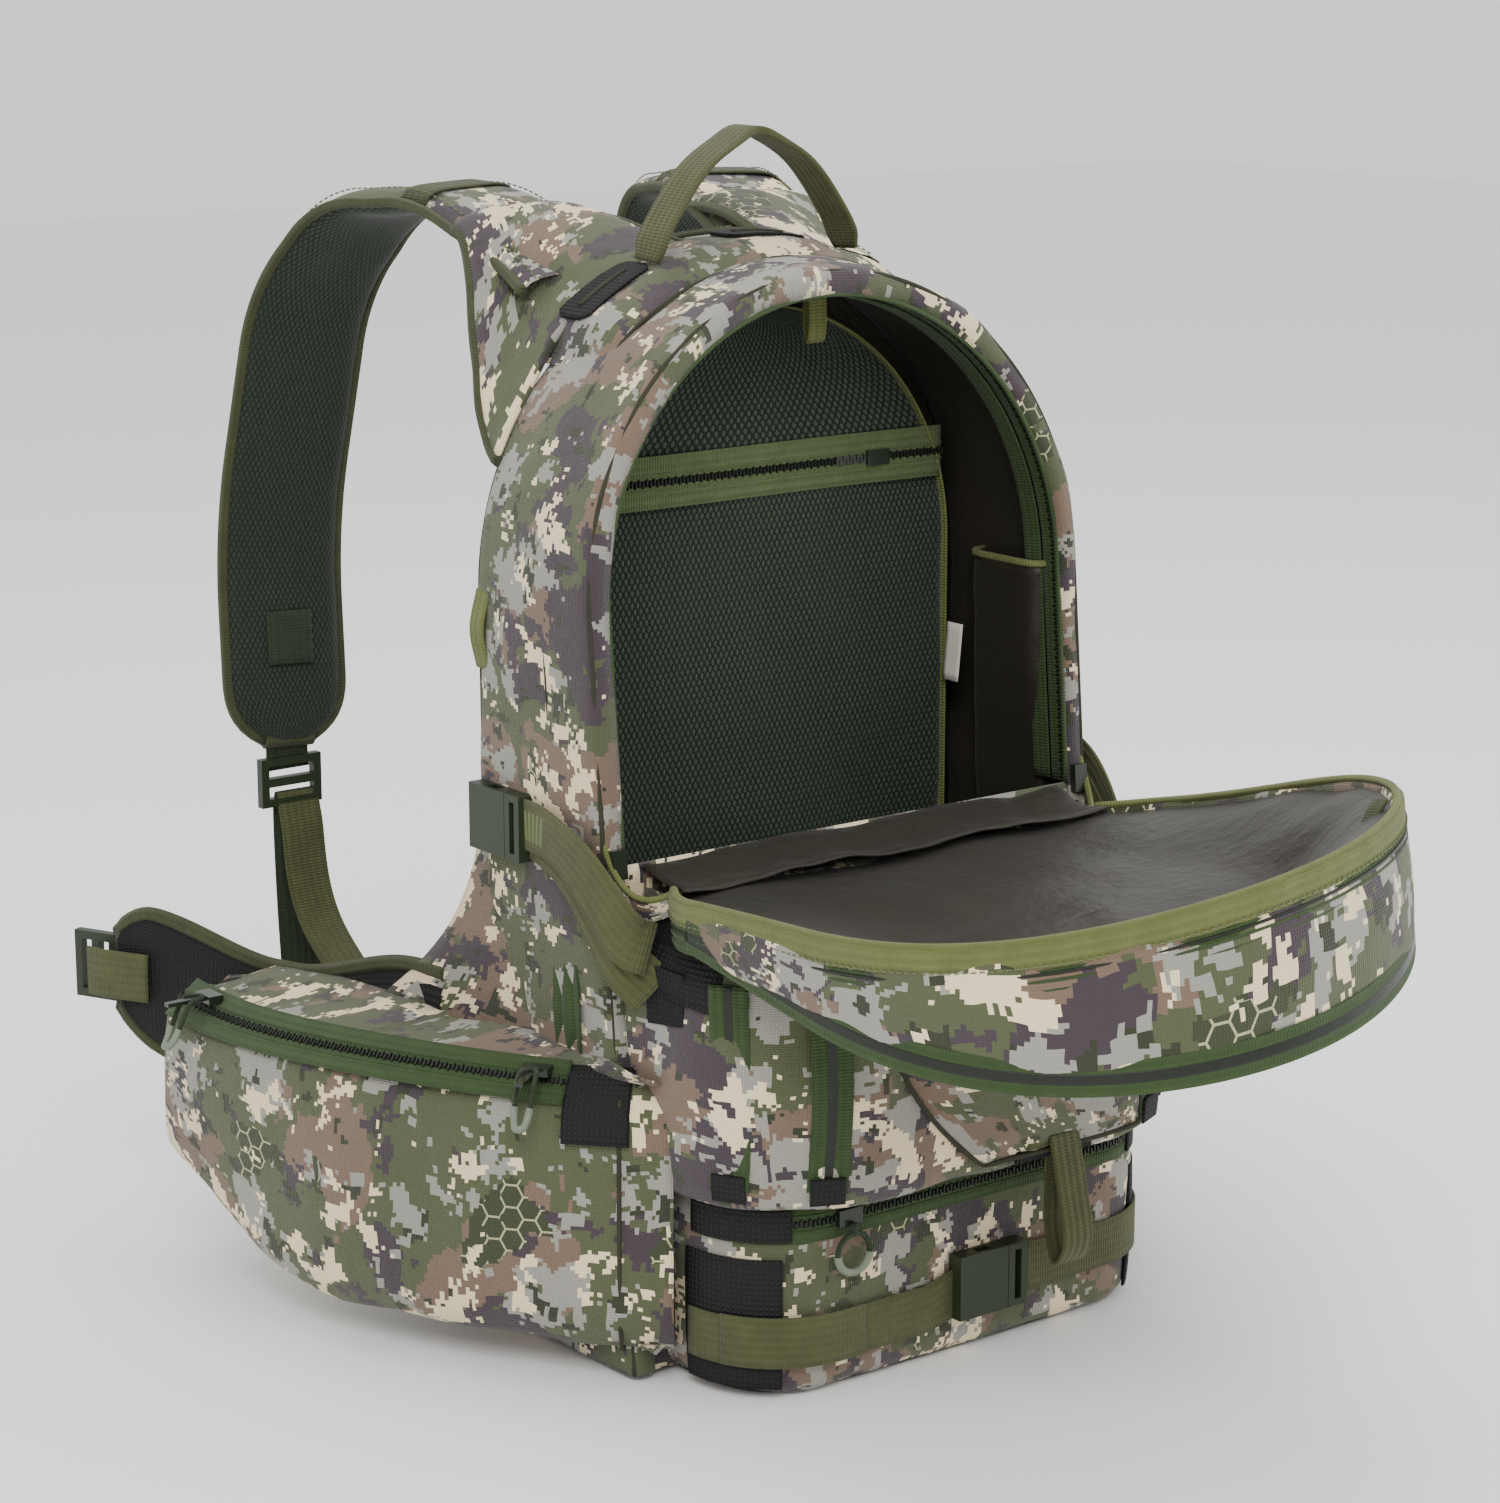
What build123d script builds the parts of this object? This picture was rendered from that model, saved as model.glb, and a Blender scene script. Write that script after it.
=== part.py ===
from build123d import *
from math import atan2, cos, degrees, hypot, radians, sin, sqrt, tan
import os

# A hunting daypack standing on its base with the main flap folded down.
# Millimetres. +Z is up, -Y is the zipped front, +Y is the wearer's side.
# The origin is the middle of the base, on the ground.
# Left pieces are modelled on the -X side, and the right ones are their mirror images.

# ---- overall sizes -------------------------------------------------------------------
PACK_WIDTH = 300.0          # across the main compartment
PACK_HEIGHT = 512.0         # from the ground to the crown of the arch
BACK_Y = 74.0               # outer face of the back panel
FACE_Y = -34.0              # zipped face, at the height of the fold line
FACE_LEAN = 5.0             # how far the zipped face leans back, degrees
FOLD_Y = -54.0              # fold line of the main flap
FOLD_Z = 238.0

# ---- fabric and padding --------------------------------------------------------------
SHELL_WALL = 5.0
FLAP_WALL = 4.0
POCKET_WALL = 3.0
BASE_THICKNESS = 3.0
BASE_INSET = 6.0            # from the pack's outline to the base panel's
BASE_CORNER = 30.0
MESH_THICKNESS = 1.5
LINING_THICKNESS = 1.5
TAPE_WIDTH = 12.0           # zip tape
TAPE_THICKNESS = 1.5
SLIDER = (8.0, 14.0, 4.0)   # zip slider: across, along, high
PATCH_THICKNESS = 1.6       # rubberised patches
WEBBING_WIDTH = 25.0
WEBBING_THICKNESS = 1.6
BACK_EDGE_RADIUS = 11.0
GAP = 0.4                   # between soft pieces that only lie side by side

# ---- main flap -----------------------------------------------------------------------
FLAP_RISE = 8.5             # the open flap points up by this angle, degrees
FOLD_HALF = 128.0           # half the length of the fold line
FLARE = 50.0                # the flap reaches its full width this far from the fold
FOLD_DEPTH = 10.0           # depth of the flap's side wall at the fold
TIP_DEPTH = 75.0            # and at its tip
LINING_FOLD_DEPTH = 3.0
LINING_TIP_DEPTH = 48.0
FOLD_CLEARANCE = 1.0

# ---- inside --------------------------------------------------------------------------
SILL = 8.0                  # the opening starts this far above the fold line
MESH_Y = 56.0
MESH_MARGIN = 22.0          # from the side of the pack to the mesh pocket's edge
MESH_ZIP_Z = 408.0
MESH_ZIP_HEIGHT = 24.0
SIDE_POCKET_GAP = 13.0      # depth of the flat pocket on the right wall
SIDE_POCKET = (56.0, 150.0)
SIDE_POCKET_FOOT = 206.0
FRAME_SHEET_THICKNESS = 1.6
FRAME_MARGIN = 32.0
HANG_TAB = (12.0, 5.0, 32.0)
BACK_PAD = (78.0, 14.0, 270.0)
BACK_PAD_FOOT = 168.0
BACK_PAD_CORNER = 18.0
BACK_CHANNEL = 32.0         # air channel between the two back pads
LUMBAR_PAD = (216.0, 16.0, 100.0)
LUMBAR_PAD_FOOT = 42.0
LUMBAR_PAD_CORNER = 24.0

# ---- yoke, handle and shoulder straps --------------------------------------------------
YOKE_THICKNESS = 10.0
YOKE_HALF_ANGLE = 45.0
YOKE_FRONT = 22.0           # y where the yoke starts on top of the pack
YOKE_OVERHANG = 14.0        # how far it stands behind the back panel
PORT_LENGTH = 46.0
PORT_WIDTH = 26.0
PORT_Y = 60.0
PORT_ANGLES = (-30.0, 4.0, 30.0)
HANDLE_Y = 52.0
HANDLE_HALF = 63.0
HANDLE_RISE = 60.0
HANDLE_THICKNESS = 2.6
HANDLE_CLEARANCE = 6.5      # above the yoke, so that it sways clear of the ports
STRAP_WIDTH = 68.0
STRAP_THICKNESS = 14.0
STRAP_GAP = 2.0             # crease between yoke and strap
LOCK = (36.0, 5.0, 26.0)    # adjuster buckle: across, thick, along

# ---- front pockets ---------------------------------------------------------------------
LOWER_HALF = 128.0
LOWER_FRONT = -120.0
LOWER_CORNER = 45.0
LOWER_TOP = 97.0
ORGANISER_HALF = 140.0
ORGANISER_FRONT = -142.0
ORGANISER_CORNER = 68.0
ORGANISER_TOP = 212.0
LOWER_ZIP_Z = 87.0
STRAP_Z = 38.0              # middle of the lower strap
PATCH_HEAD = 72.0           # top of the lower corner patches
PATCH_INNER_X = 98.0        # where they end on the front
UPRIGHT_ZIPS = (98.0, 131.0)
BUCKLE_X = 16.0
RING_RADIUS = 11.0          # ring pull of the lower zip
RING_BAR = 3.0
RING_STEM = 6.0
RING_DROP = 1.5             # from the zip's middle down to the stem's top
LOOP_X = 36.0
LOOP_LENGTH = 62.0
LOOP_DEPTH = 15.0
LOOP_WIDTH = 20.0
LOOP_PATCH = (40.0, 26.0)
SIDE_PATCH = (30.0, 36.0)
SIDE_PATCH_Y = -56.0

# ---- hip belt ----------------------------------------------------------------------------
WING_HINGE = (-156.0, 80.0)
WING_FOOT = 18.0
WING_TOP = 172.0
WING_TIP_FOOT = 106.0
WING_TIP_Y = 286.0
WING_THICKNESS = 12.0
WEDGE = 6.0                 # half the angle left open between side pocket and hip pouch
POUCH_FOOT = 16.0
POUCH_TOP = 148.0
POUCH_LIFT = 4.0            # hip pouch above the wing's rising underside
POUCH_FRONT_Y = -74.0
POUCH_MIDDLE = (-214.0, 20.0)
POUCH_REAR = (-250.0, 206.0)
POUCH_BULGE = (-224.0, 224.0)   # round end behind the rear point
POUCH_END = (-190.0, 200.0)     # where the pouch meets the belt wing
POUCH_STEP_Y = -58.0            # side pocket steps in to the organiser's width here
ZIP_EDGE = 3.0              # pouch zip, in from the pouches' outer curve
ZIP_FRONT_X = -166.0        # where it starts

# ---- side release buckle -----------------------------------------------------------------
BUCKLE_LENGTH = 30.0        # female half
BUCKLE_WIDTH = 32.0
BUCKLE_THICKNESS = 9.0
BUCKLE_WALL = 2.0
BUCKLE_CLEARANCE = 0.4
MALE_BASE = 12.0
PRONG_LENGTH = 22.0
SIDE_STRAP_Z = 256.0
SIDE_BUCKLE_Y = 42.0

HALF = PACK_WIDTH / 2
ARCH_CENTRE = PACK_HEIGHT - HALF
BACK = Plane.XZ.offset(-BACK_Y)
FACE = Plane(
    origin=(0, FACE_Y, FOLD_Z),
    x_dir=(1, 0, 0),
    z_dir=(0, -cos(radians(FACE_LEAN)), sin(radians(FACE_LEAN))),
)
FACE_CROWN = (PACK_HEIGHT - FOLD_Z) / cos(radians(FACE_LEAN))
CROWN_Y = FACE_Y + (PACK_HEIGHT - FOLD_Z) * tan(radians(FACE_LEAN))
FLAP = Plane(
    origin=(0, FOLD_Y, FOLD_Z),
    x_dir=(1, 0, 0),
    z_dir=(0, -sin(radians(FLAP_RISE)), -cos(radians(FLAP_RISE))),
)
FLAP_LENGTH = hypot(CROWN_Y - FOLD_Y, PACK_HEIGHT - FOLD_Z)
FAR = 2 * PACK_HEIGHT       # longer than anything that is cut

os.makedirs("parts", exist_ok=True)


# ---- helpers -------------------------------------------------------------------------
def write(block, node):
    """Label a finished piece and write it under its node's name."""
    block.part.label = node
    export_step(block.part, f"parts/{node}.step")


def write_pair(left, node):
    """Write a left piece, and its mirror image as the right one."""
    write(left, f"{node}_left")
    with BuildPart() as right:
        mirror(left.part, about=Plane.YZ)
    write(right, f"{node}_right")


def arch(plane, half_width, foot, crown):
    """Outline with upright sides and a half-round top, between two heights of the plane."""
    spring = crown - half_width
    with BuildSketch(plane) as outline:
        with BuildLine():
            Polyline(
                (-half_width, spring),
                (-half_width, foot),
                (half_width, foot),
                (half_width, spring),
            )
            ThreePointArc((half_width, spring), (0, crown), (-half_width, spring))
        make_face()
    return outline.sketch


def arch_band(plane, half_width, foot, crown, width):
    """U-shaped band just inside an arch, open at its foot."""
    inner = arch(plane, half_width - width, foot - width, crown - width)
    return arch(plane, half_width, foot, crown) - inner


def flap_outline(inset):
    """The flap's rim, narrow at the fold and full width from the flare on."""
    half = HALF - inset
    fold_half = FOLD_HALF - inset
    spring = FLAP_LENGTH - HALF
    with BuildSketch(FLAP) as outline:
        with BuildLine():
            Polyline(
                (-half, spring),
                (-half, FLARE),
                (-fold_half, FOLD_CLEARANCE + max(inset, 0)),
                (fold_half, FOLD_CLEARANCE + max(inset, 0)),
                (half, FLARE),
                (half, spring),
            )
            ThreePointArc((half, spring), (0, spring + half), (-half, spring))
        make_face()
    return outline.sketch


def slant(fold_depth, tip_depth):
    """Plane across the flap at one depth under the rim by the fold and another at the tip."""
    tilt = degrees(atan2(tip_depth - fold_depth, FLAP_LENGTH))
    return FLAP.offset(fold_depth).rotated((tilt, 0, 0))


def pocket_plan(half_width, front, corner, level):
    """Plan of a front pocket: straight front, round corners, its back inside the pack."""
    depth = BACK_Y - front
    with BuildSketch(Plane.XY.offset(level)) as plan:
        with Locations((0, front + depth / 2)):
            Rectangle(2 * half_width, depth)
        fillet(plan.vertices().group_by(Axis.Y)[0], corner)
    return plan.sketch


def arc_block(radius_in, radius_out, middle, length, y_front, y_back):
    """Piece of a tube lying on the arch: middle is its angle from the crown, in degrees."""
    half_turn = degrees(length / 2 / radius_out)
    with BuildPart() as block:
        with BuildSketch(Plane.XZ.offset(-y_back)):
            with BuildLine():
                points = []
                for radius in (radius_in, radius_out):
                    for turn in (-half_turn, 0, half_turn):
                        angle = radians(90 - middle - turn)
                        points.append((radius * cos(angle), ARCH_CENTRE + radius * sin(angle)))
                ThreePointArc(*points[:3])
                Line(points[2], points[5])
                ThreePointArc(points[5], points[4], points[3])
                Line(points[3], points[0])
            make_face()
        extrude(amount=y_back - y_front)
    return block.part


def ribbon_x(points, radii, x_middle, width, thickness):
    """Webbing as wide as X, along a route given by its (y, z) points."""
    with BuildPart() as ribbon:
        with BuildSketch(Plane.YZ.offset(x_middle - width / 2)):
            with BuildLine() as route:
                FilletPolyline(*points, radius=radii)
            trace(route.edges(), thickness)
        extrude(amount=width)
    return ribbon.part


def buckle_female(plane):
    """Socket half: x points away from the mouth, z is its outer face."""
    inner_width = BUCKLE_WIDTH - 2 * BUCKLE_WALL
    inner_height = BUCKLE_THICKNESS - 2 * BUCKLE_WALL
    socket = PRONG_LENGTH + 2
    with BuildPart(plane) as female:
        with Locations((BUCKLE_LENGTH / 2, 0, 0)):
            Box(BUCKLE_LENGTH, BUCKLE_WIDTH, BUCKLE_THICKNESS)
        with Locations((socket / 2, 0, 0)):
            Box(socket, inner_width, inner_height, mode=Mode.SUBTRACT)
        with Locations((PRONG_LENGTH * 0.6, 0, 0)):
            Box(PRONG_LENGTH * 0.4, BUCKLE_WIDTH, inner_height, mode=Mode.SUBTRACT)
    return female.part


def buckle_male(plane):
    """Plug half: its base stands in front of the mouth and its prongs reach in."""
    prong_width = 5.0
    reach = BUCKLE_WIDTH / 2 - BUCKLE_WALL - BUCKLE_CLEARANCE - prong_width / 2
    height = BUCKLE_THICKNESS - 2 * BUCKLE_WALL - 2 * BUCKLE_CLEARANCE
    with BuildPart(plane) as male:
        with Locations((-MALE_BASE / 2 - BUCKLE_CLEARANCE, 0, 0)):
            Box(MALE_BASE, BUCKLE_WIDTH, BUCKLE_THICKNESS)
        with Locations((-MALE_BASE / 2 - BUCKLE_CLEARANCE, 0, 0)):
            Box(MALE_BASE / 3, WEBBING_WIDTH, BUCKLE_THICKNESS, mode=Mode.SUBTRACT)
        with Locations(
            (PRONG_LENGTH / 2 - BUCKLE_CLEARANCE, -reach, 0),
            (PRONG_LENGTH / 2 - BUCKLE_CLEARANCE, 0, 0),
            (PRONG_LENGTH / 2 - BUCKLE_CLEARANCE, reach, 0),
        ):
            Box(PRONG_LENGTH, prong_width, height)
    return male.part


def adjuster(plane):
    """Ladder lock: a flat frame with two slots, x across the webbing, y along it."""
    across, thick, along = LOCK
    with BuildPart(plane) as lock:
        Box(across, along, thick)
        with Locations((0, along / 4 - 1, 0), (0, -along / 4 + 1, 0)):
            Box(WEBBING_WIDTH + 2, along / 4, thick, mode=Mode.SUBTRACT)
    return lock.part


# ---- main compartment ------------------------------------------------------------------
with BuildPart() as compartment:
    room_foot = BASE_THICKNESS + SHELL_WALL
    room = arch(BACK.offset(SHELL_WALL), HALF - SHELL_WALL, room_foot, PACK_HEIGHT - SHELL_WALL)
    extrude(room, amount=FAR)
    split(bisect_by=FACE.offset(-SHELL_WALL), keep=Keep.BOTTOM)

with BuildPart() as main_shell:
    extrude(arch(BACK, HALF, BASE_THICKNESS, PACK_HEIGHT), amount=FAR)
    split(bisect_by=FACE, keep=Keep.BOTTOM)
    fillet(main_shell.faces().sort_by(Axis.Y)[-1].edges(), BACK_EDGE_RADIUS)
    add(compartment.part, mode=Mode.SUBTRACT)
    mouth = arch(FACE, HALF - TAPE_WIDTH, SILL, FACE_CROWN - TAPE_WIDTH)
    extrude(mouth, amount=-2 * SHELL_WALL, mode=Mode.SUBTRACT)
write(main_shell, "main_shell")

with BuildPart() as base_panel:
    with BuildSketch(Plane.XY):
        with Locations((0, (LOWER_FRONT + BACK_Y) / 2)):
            base_depth = BACK_Y - LOWER_FRONT - 2 * BASE_INSET
            RectangleRounded(2 * (LOWER_HALF - BASE_INSET), base_depth, BASE_CORNER)
    extrude(amount=BASE_THICKNESS)
write(base_panel, "base_panel")

with BuildPart() as frame_sheet:
    sheet_half = HALF - FRAME_MARGIN
    sheet = arch(BACK.offset(SHELL_WALL), sheet_half, FRAME_MARGIN, PACK_HEIGHT - FRAME_MARGIN)
    extrude(sheet, amount=FRAME_SHEET_THICKNESS)
write(frame_sheet, "frame_sheet")

with BuildPart() as back_pads:
    width, thick, height = BACK_PAD
    for side in (-1, 1):
        pad_x = side * (width + BACK_CHANNEL) / 2
        with Locations((pad_x, BACK_Y + thick / 2, BACK_PAD_FOOT + height / 2)):
            Box(width, thick, height)
    fillet(back_pads.edges().filter_by(Axis.Y), BACK_PAD_CORNER)
write(back_pads, "back_pads")

with BuildPart() as lumbar_pad:
    width, thick, height = LUMBAR_PAD
    with Locations((0, BACK_Y + thick / 2, LUMBAR_PAD_FOOT + height / 2)):
        Box(width, thick, height)
    fillet(lumbar_pad.edges().filter_by(Axis.Y), LUMBAR_PAD_CORNER)
write(lumbar_pad, "lumbar_pad")

# ---- zip round the opening, shell side ---------------------------------------------------
with BuildPart() as main_zip_body_tape:
    band = arch_band(FACE, HALF - 1, 0, FACE_CROWN - 1, TAPE_WIDTH - 2)
    extrude(band, amount=TAPE_THICKNESS)
write(main_zip_body_tape, "main_zip_body_tape")

with BuildPart(FACE.offset(TAPE_THICKNESS)) as main_zip_sliders:
    width, length, height = SLIDER
    parked = (length + 6) / 2
    for side in (-1, 1):
        with Locations((side * (HALF - TAPE_WIDTH / 2), parked, height / 2)):
            Box(width, length, height)
write(main_zip_sliders, "main_zip_sliders")

# ---- inside of the compartment -------------------------------------------------------------
MESH_PLANE = Plane.XZ.offset(-MESH_Y)
MESH_HALF = HALF - MESH_MARGIN
MESH_CROWN = PACK_HEIGHT - MESH_MARGIN
MESH_FOOT = 40.0
ZIP_FOOT = MESH_ZIP_Z - MESH_ZIP_HEIGHT / 2
ZIP_HEAD = MESH_ZIP_Z + MESH_ZIP_HEIGHT / 2

with BuildPart() as mesh_panel_lower:
    extrude(arch(MESH_PLANE, MESH_HALF, MESH_FOOT, MESH_CROWN), amount=MESH_THICKNESS)
    split(bisect_by=Plane.XY.offset(ZIP_FOOT), keep=Keep.BOTTOM)
write(mesh_panel_lower, "mesh_panel_lower")

with BuildPart() as mesh_panel_upper:
    extrude(arch(MESH_PLANE, MESH_HALF, MESH_FOOT, MESH_CROWN), amount=MESH_THICKNESS)
    split(bisect_by=Plane.XY.offset(ZIP_HEAD), keep=Keep.TOP)
write(mesh_panel_upper, "mesh_panel_upper")

with BuildPart() as mesh_zip:
    extrude(arch(MESH_PLANE, MESH_HALF, MESH_FOOT, MESH_CROWN), amount=MESH_THICKNESS)
    split(bisect_by=Plane.XY.offset(ZIP_HEAD), keep=Keep.BOTTOM)
    split(bisect_by=Plane.XY.offset(ZIP_FOOT), keep=Keep.TOP)
write(mesh_zip, "mesh_zip")

MESH_SLIDER_X = 82.0
PULL_LENGTH = 20.0
with BuildPart() as mesh_zip_slider:
    across, along, high = SLIDER
    slider_y = MESH_Y - MESH_THICKNESS - GAP - high / 2
    with Locations((MESH_SLIDER_X, slider_y, MESH_ZIP_Z)):
        Box(along, high, across)
    with Locations((MESH_SLIDER_X - (along + PULL_LENGTH) / 2, slider_y, MESH_ZIP_Z)):
        Box(PULL_LENGTH, high / 2, across / 2)
write(mesh_zip_slider, "mesh_zip_slider")

with BuildPart() as inner_side_pocket:
    length, height = SIDE_POCKET
    depth = SIDE_POCKET_GAP
    pocket_y = (MESH_Y + FACE_Y) / 2 + 1
    with Locations((HALF - SHELL_WALL - depth / 2, pocket_y, SIDE_POCKET_FOOT + height / 2)):
        Box(depth, length, height)
    offset(
        amount=-LINING_THICKNESS,
        openings=inner_side_pocket.faces().filter_by(Axis.X).sort_by(Axis.X)[-1:]
        + inner_side_pocket.faces().sort_by(Axis.Z)[-1:],
        kind=Kind.INTERSECTION,
    )
write(inner_side_pocket, "inner_side_pocket")

TAB_X = 24.0
TAB_Y = 30.0
with BuildPart() as hang_tab:
    width, depth, height = HANG_TAB
    tab_top = ARCH_CENTRE + sqrt((HALF - SHELL_WALL) ** 2 - (TAB_X + width / 2) ** 2) - GAP
    with Locations((TAB_X, TAB_Y, tab_top - height / 2)):
        Box(width, depth, height)
        Box(width, depth - 2 * WEBBING_THICKNESS, height - 8, mode=Mode.SUBTRACT)
write(hang_tab, "hang_tab")

# ---- yoke, ports and grab handle --------------------------------------------------------------
YOKE_BACK = BACK_Y + YOKE_OVERHANG
YOKE_RADIUS = HALF + YOKE_THICKNESS
YOKE_LENGTH = radians(2 * YOKE_HALF_ANGLE) * YOKE_RADIUS

with BuildPart() as yoke_panel:
    add(arc_block(HALF + GAP, YOKE_RADIUS, 0, YOKE_LENGTH, YOKE_FRONT, YOKE_BACK))
write(yoke_panel, "yoke_panel")

with BuildPart() as hydration_ports:
    for middle in PORT_ANGLES:
        port = arc_block(
            YOKE_RADIUS,
            YOKE_RADIUS + PATCH_THICKNESS,
            middle,
            PORT_LENGTH,
            PORT_Y - PORT_WIDTH / 2,
            PORT_Y + PORT_WIDTH / 2,
        )
        add(port)
write(hydration_ports, "hydration_ports")

HANDLE_FOOT = ARCH_CENTRE + sqrt(YOKE_RADIUS ** 2 - HANDLE_HALF ** 2) + HANDLE_CLEARANCE
with BuildPart() as grab_handle:
    with BuildSketch(Plane.XZ.offset(-HANDLE_Y - WEBBING_WIDTH / 2)):
        with BuildLine() as route:
            FilletPolyline(
                (-HANDLE_HALF, HANDLE_FOOT),
                (-HANDLE_HALF / 2, HANDLE_FOOT + HANDLE_RISE),
                (HANDLE_HALF / 2, HANDLE_FOOT + HANDLE_RISE),
                (HANDLE_HALF, HANDLE_FOOT),
                radius=26,
            )
        trace(route.edges(), HANDLE_THICKNESS)
    extrude(amount=WEBBING_WIDTH)
    with BuildSketch(Plane.YZ.offset(-HANDLE_HALF * 2)):
        with BuildLine():
            Polyline(
                (HANDLE_Y - 4, HANDLE_FOOT - 4),
                (HANDLE_Y - WEBBING_WIDTH / 2, HANDLE_FOOT + 16),
                (HANDLE_Y - WEBBING_WIDTH / 2, HANDLE_FOOT + HANDLE_RISE + 4),
                (HANDLE_Y + WEBBING_WIDTH / 2, HANDLE_FOOT + HANDLE_RISE + 4),
                (HANDLE_Y + WEBBING_WIDTH / 2, HANDLE_FOOT + 16),
                (HANDLE_Y + 4, HANDLE_FOOT - 4),
                close=True,
            )
        make_face()
    extrude(amount=HANDLE_HALF * 4, mode=Mode.INTERSECT)
write(grab_handle, "grab_handle")

# ---- shoulder straps, adjusters and lower webbings -----------------------------------------------
STRAP_ROOT_X = -65.0
STRAP_ROOT_Z = ARCH_CENTRE + sqrt((HALF + YOKE_THICKNESS / 2) ** 2 - STRAP_ROOT_X ** 2)
STRAP_ROOT = (STRAP_ROOT_X, YOKE_BACK - 10, STRAP_ROOT_Z - 6)
STRAP_ROUTE = [
    STRAP_ROOT,
    (-80, 178, STRAP_ROOT_Z + 36),
    (-98, 240, STRAP_ROOT_Z + 30),
    (-114, 278, STRAP_ROOT_Z - 18),
    (-134, 284, STRAP_ROOT_Z - 140),
    (-140, 268, STRAP_ROOT_Z - 262),
]
STRAP_RADII = [85, 60, 88, 380]
STRAP_END = (STRAP_ROUTE[-1][0], STRAP_ROUTE[-1][1], STRAP_ROUTE[-1][2] + 6)

with BuildPart() as shoulder_strap:
    with BuildLine() as spine:
        FilletPolyline(*STRAP_ROUTE, radius=STRAP_RADII)
    start = spine.line @ 0
    heading = spine.line % 0
    with BuildSketch(Plane(origin=start, x_dir=(1, 0, 0), z_dir=heading)):
        RectangleRounded(STRAP_WIDTH, STRAP_THICKNESS, STRAP_THICKNESS / 2 - 1)
    sweep(path=spine.line)
    split(bisect_by=Plane.XZ.offset(-YOKE_BACK - STRAP_GAP), keep=Keep.BOTTOM)
    split(bisect_by=Plane.XY.offset(STRAP_END[2]), keep=Keep.TOP)
write_pair(shoulder_strap, "shoulder_strap")

LOCK_X, LOCK_Y, LOCK_TOP = STRAP_END[0], STRAP_END[1], STRAP_END[2] - 3
LOCK_SEAT = Plane(origin=(LOCK_X, LOCK_Y, LOCK_TOP - LOCK[2] / 2), x_dir=(1, 0, 0), z_dir=(0, 1, 0))
with BuildPart() as strap_lock:
    add(adjuster(LOCK_SEAT))
write_pair(strap_lock, "strap_lock")

WEB_TOP = LOCK_TOP - LOCK[2] - 1
WEB_X = LOCK_X + 4
TAIL_LENGTH = 104.0         # free end below the adjuster
with BuildPart() as strap_webbing:
    tail = [(LOCK_Y + 3, WEB_TOP), (LOCK_Y + 2, WEB_TOP - 50), (LOCK_Y - 2, WEB_TOP - TAIL_LENGTH)]
    add(ribbon_x(tail, [400], WEB_X, WEBBING_WIDTH, WEBBING_THICKNESS))
    anchor = [
        (LOCK_Y - 3, WEB_TOP),
        (LOCK_Y - 26, WEB_TOP - 66),
        (BACK_Y + 70, WEB_TOP - 122),
        (BACK_Y + 2, WEB_TOP - 150),
    ]
    add(ribbon_x(anchor, [60, 60], WEB_X, WEBBING_WIDTH, WEBBING_THICKNESS))
write_pair(strap_webbing, "strap_webbing")

# ---- main flap ---------------------------------------------------------------------------------
with BuildPart() as flap_room:
    extrude(flap_outline(FLAP_WALL), amount=TIP_DEPTH + FAR / 4)
    split(bisect_by=slant(FOLD_DEPTH - FLAP_WALL, TIP_DEPTH - FLAP_WALL), keep=Keep.BOTTOM)

with BuildPart() as flap_shell:
    extrude(flap_outline(0), amount=TIP_DEPTH + FAR / 4)
    split(bisect_by=slant(FOLD_DEPTH, TIP_DEPTH), keep=Keep.BOTTOM)
    add(flap_room.part, mode=Mode.SUBTRACT)
write(flap_shell, "flap_shell")

with BuildPart() as flap_lining:
    extrude(flap_outline(FLAP_WALL), amount=TIP_DEPTH + FAR / 4)
    lining_foot = LINING_FOLD_DEPTH + LINING_THICKNESS
    split(bisect_by=slant(lining_foot, LINING_TIP_DEPTH + LINING_THICKNESS), keep=Keep.BOTTOM)
    split(bisect_by=slant(LINING_FOLD_DEPTH, LINING_TIP_DEPTH), keep=Keep.TOP)
write(flap_lining, "flap_lining")

with BuildPart() as main_zip_flap_tape:
    rim = flap_outline(0.5)
    rim_room = flap_outline(TAPE_WIDTH)
    extrude(rim - rim_room, amount=-TAPE_THICKNESS)
    cut = Plane(FLAP.from_local_coords(Vector(0, FLARE / 2, 0)), x_dir=(1, 0, 0), z_dir=FLAP.y_dir)
    split(bisect_by=cut, keep=Keep.TOP)
write(main_zip_flap_tape, "main_zip_flap_tape")

with BuildPart() as flap_pocket_zip:
    extrude(flap_outline(-TAPE_THICKNESS) - flap_outline(0), amount=TIP_DEPTH + FAR / 4)
    split(bisect_by=slant(FOLD_DEPTH - 2, TIP_DEPTH - 2), keep=Keep.BOTTOM)
    split(bisect_by=slant(FOLD_DEPTH - 2 - TAPE_WIDTH, TIP_DEPTH - 2 - TAPE_WIDTH), keep=Keep.TOP)
    cut = Plane(FLAP.from_local_coords(Vector(0, FLARE, 0)), x_dir=(1, 0, 0), z_dir=FLAP.y_dir)
    split(bisect_by=cut, keep=Keep.TOP)
write(flap_pocket_zip, "flap_pocket_zip")

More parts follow.
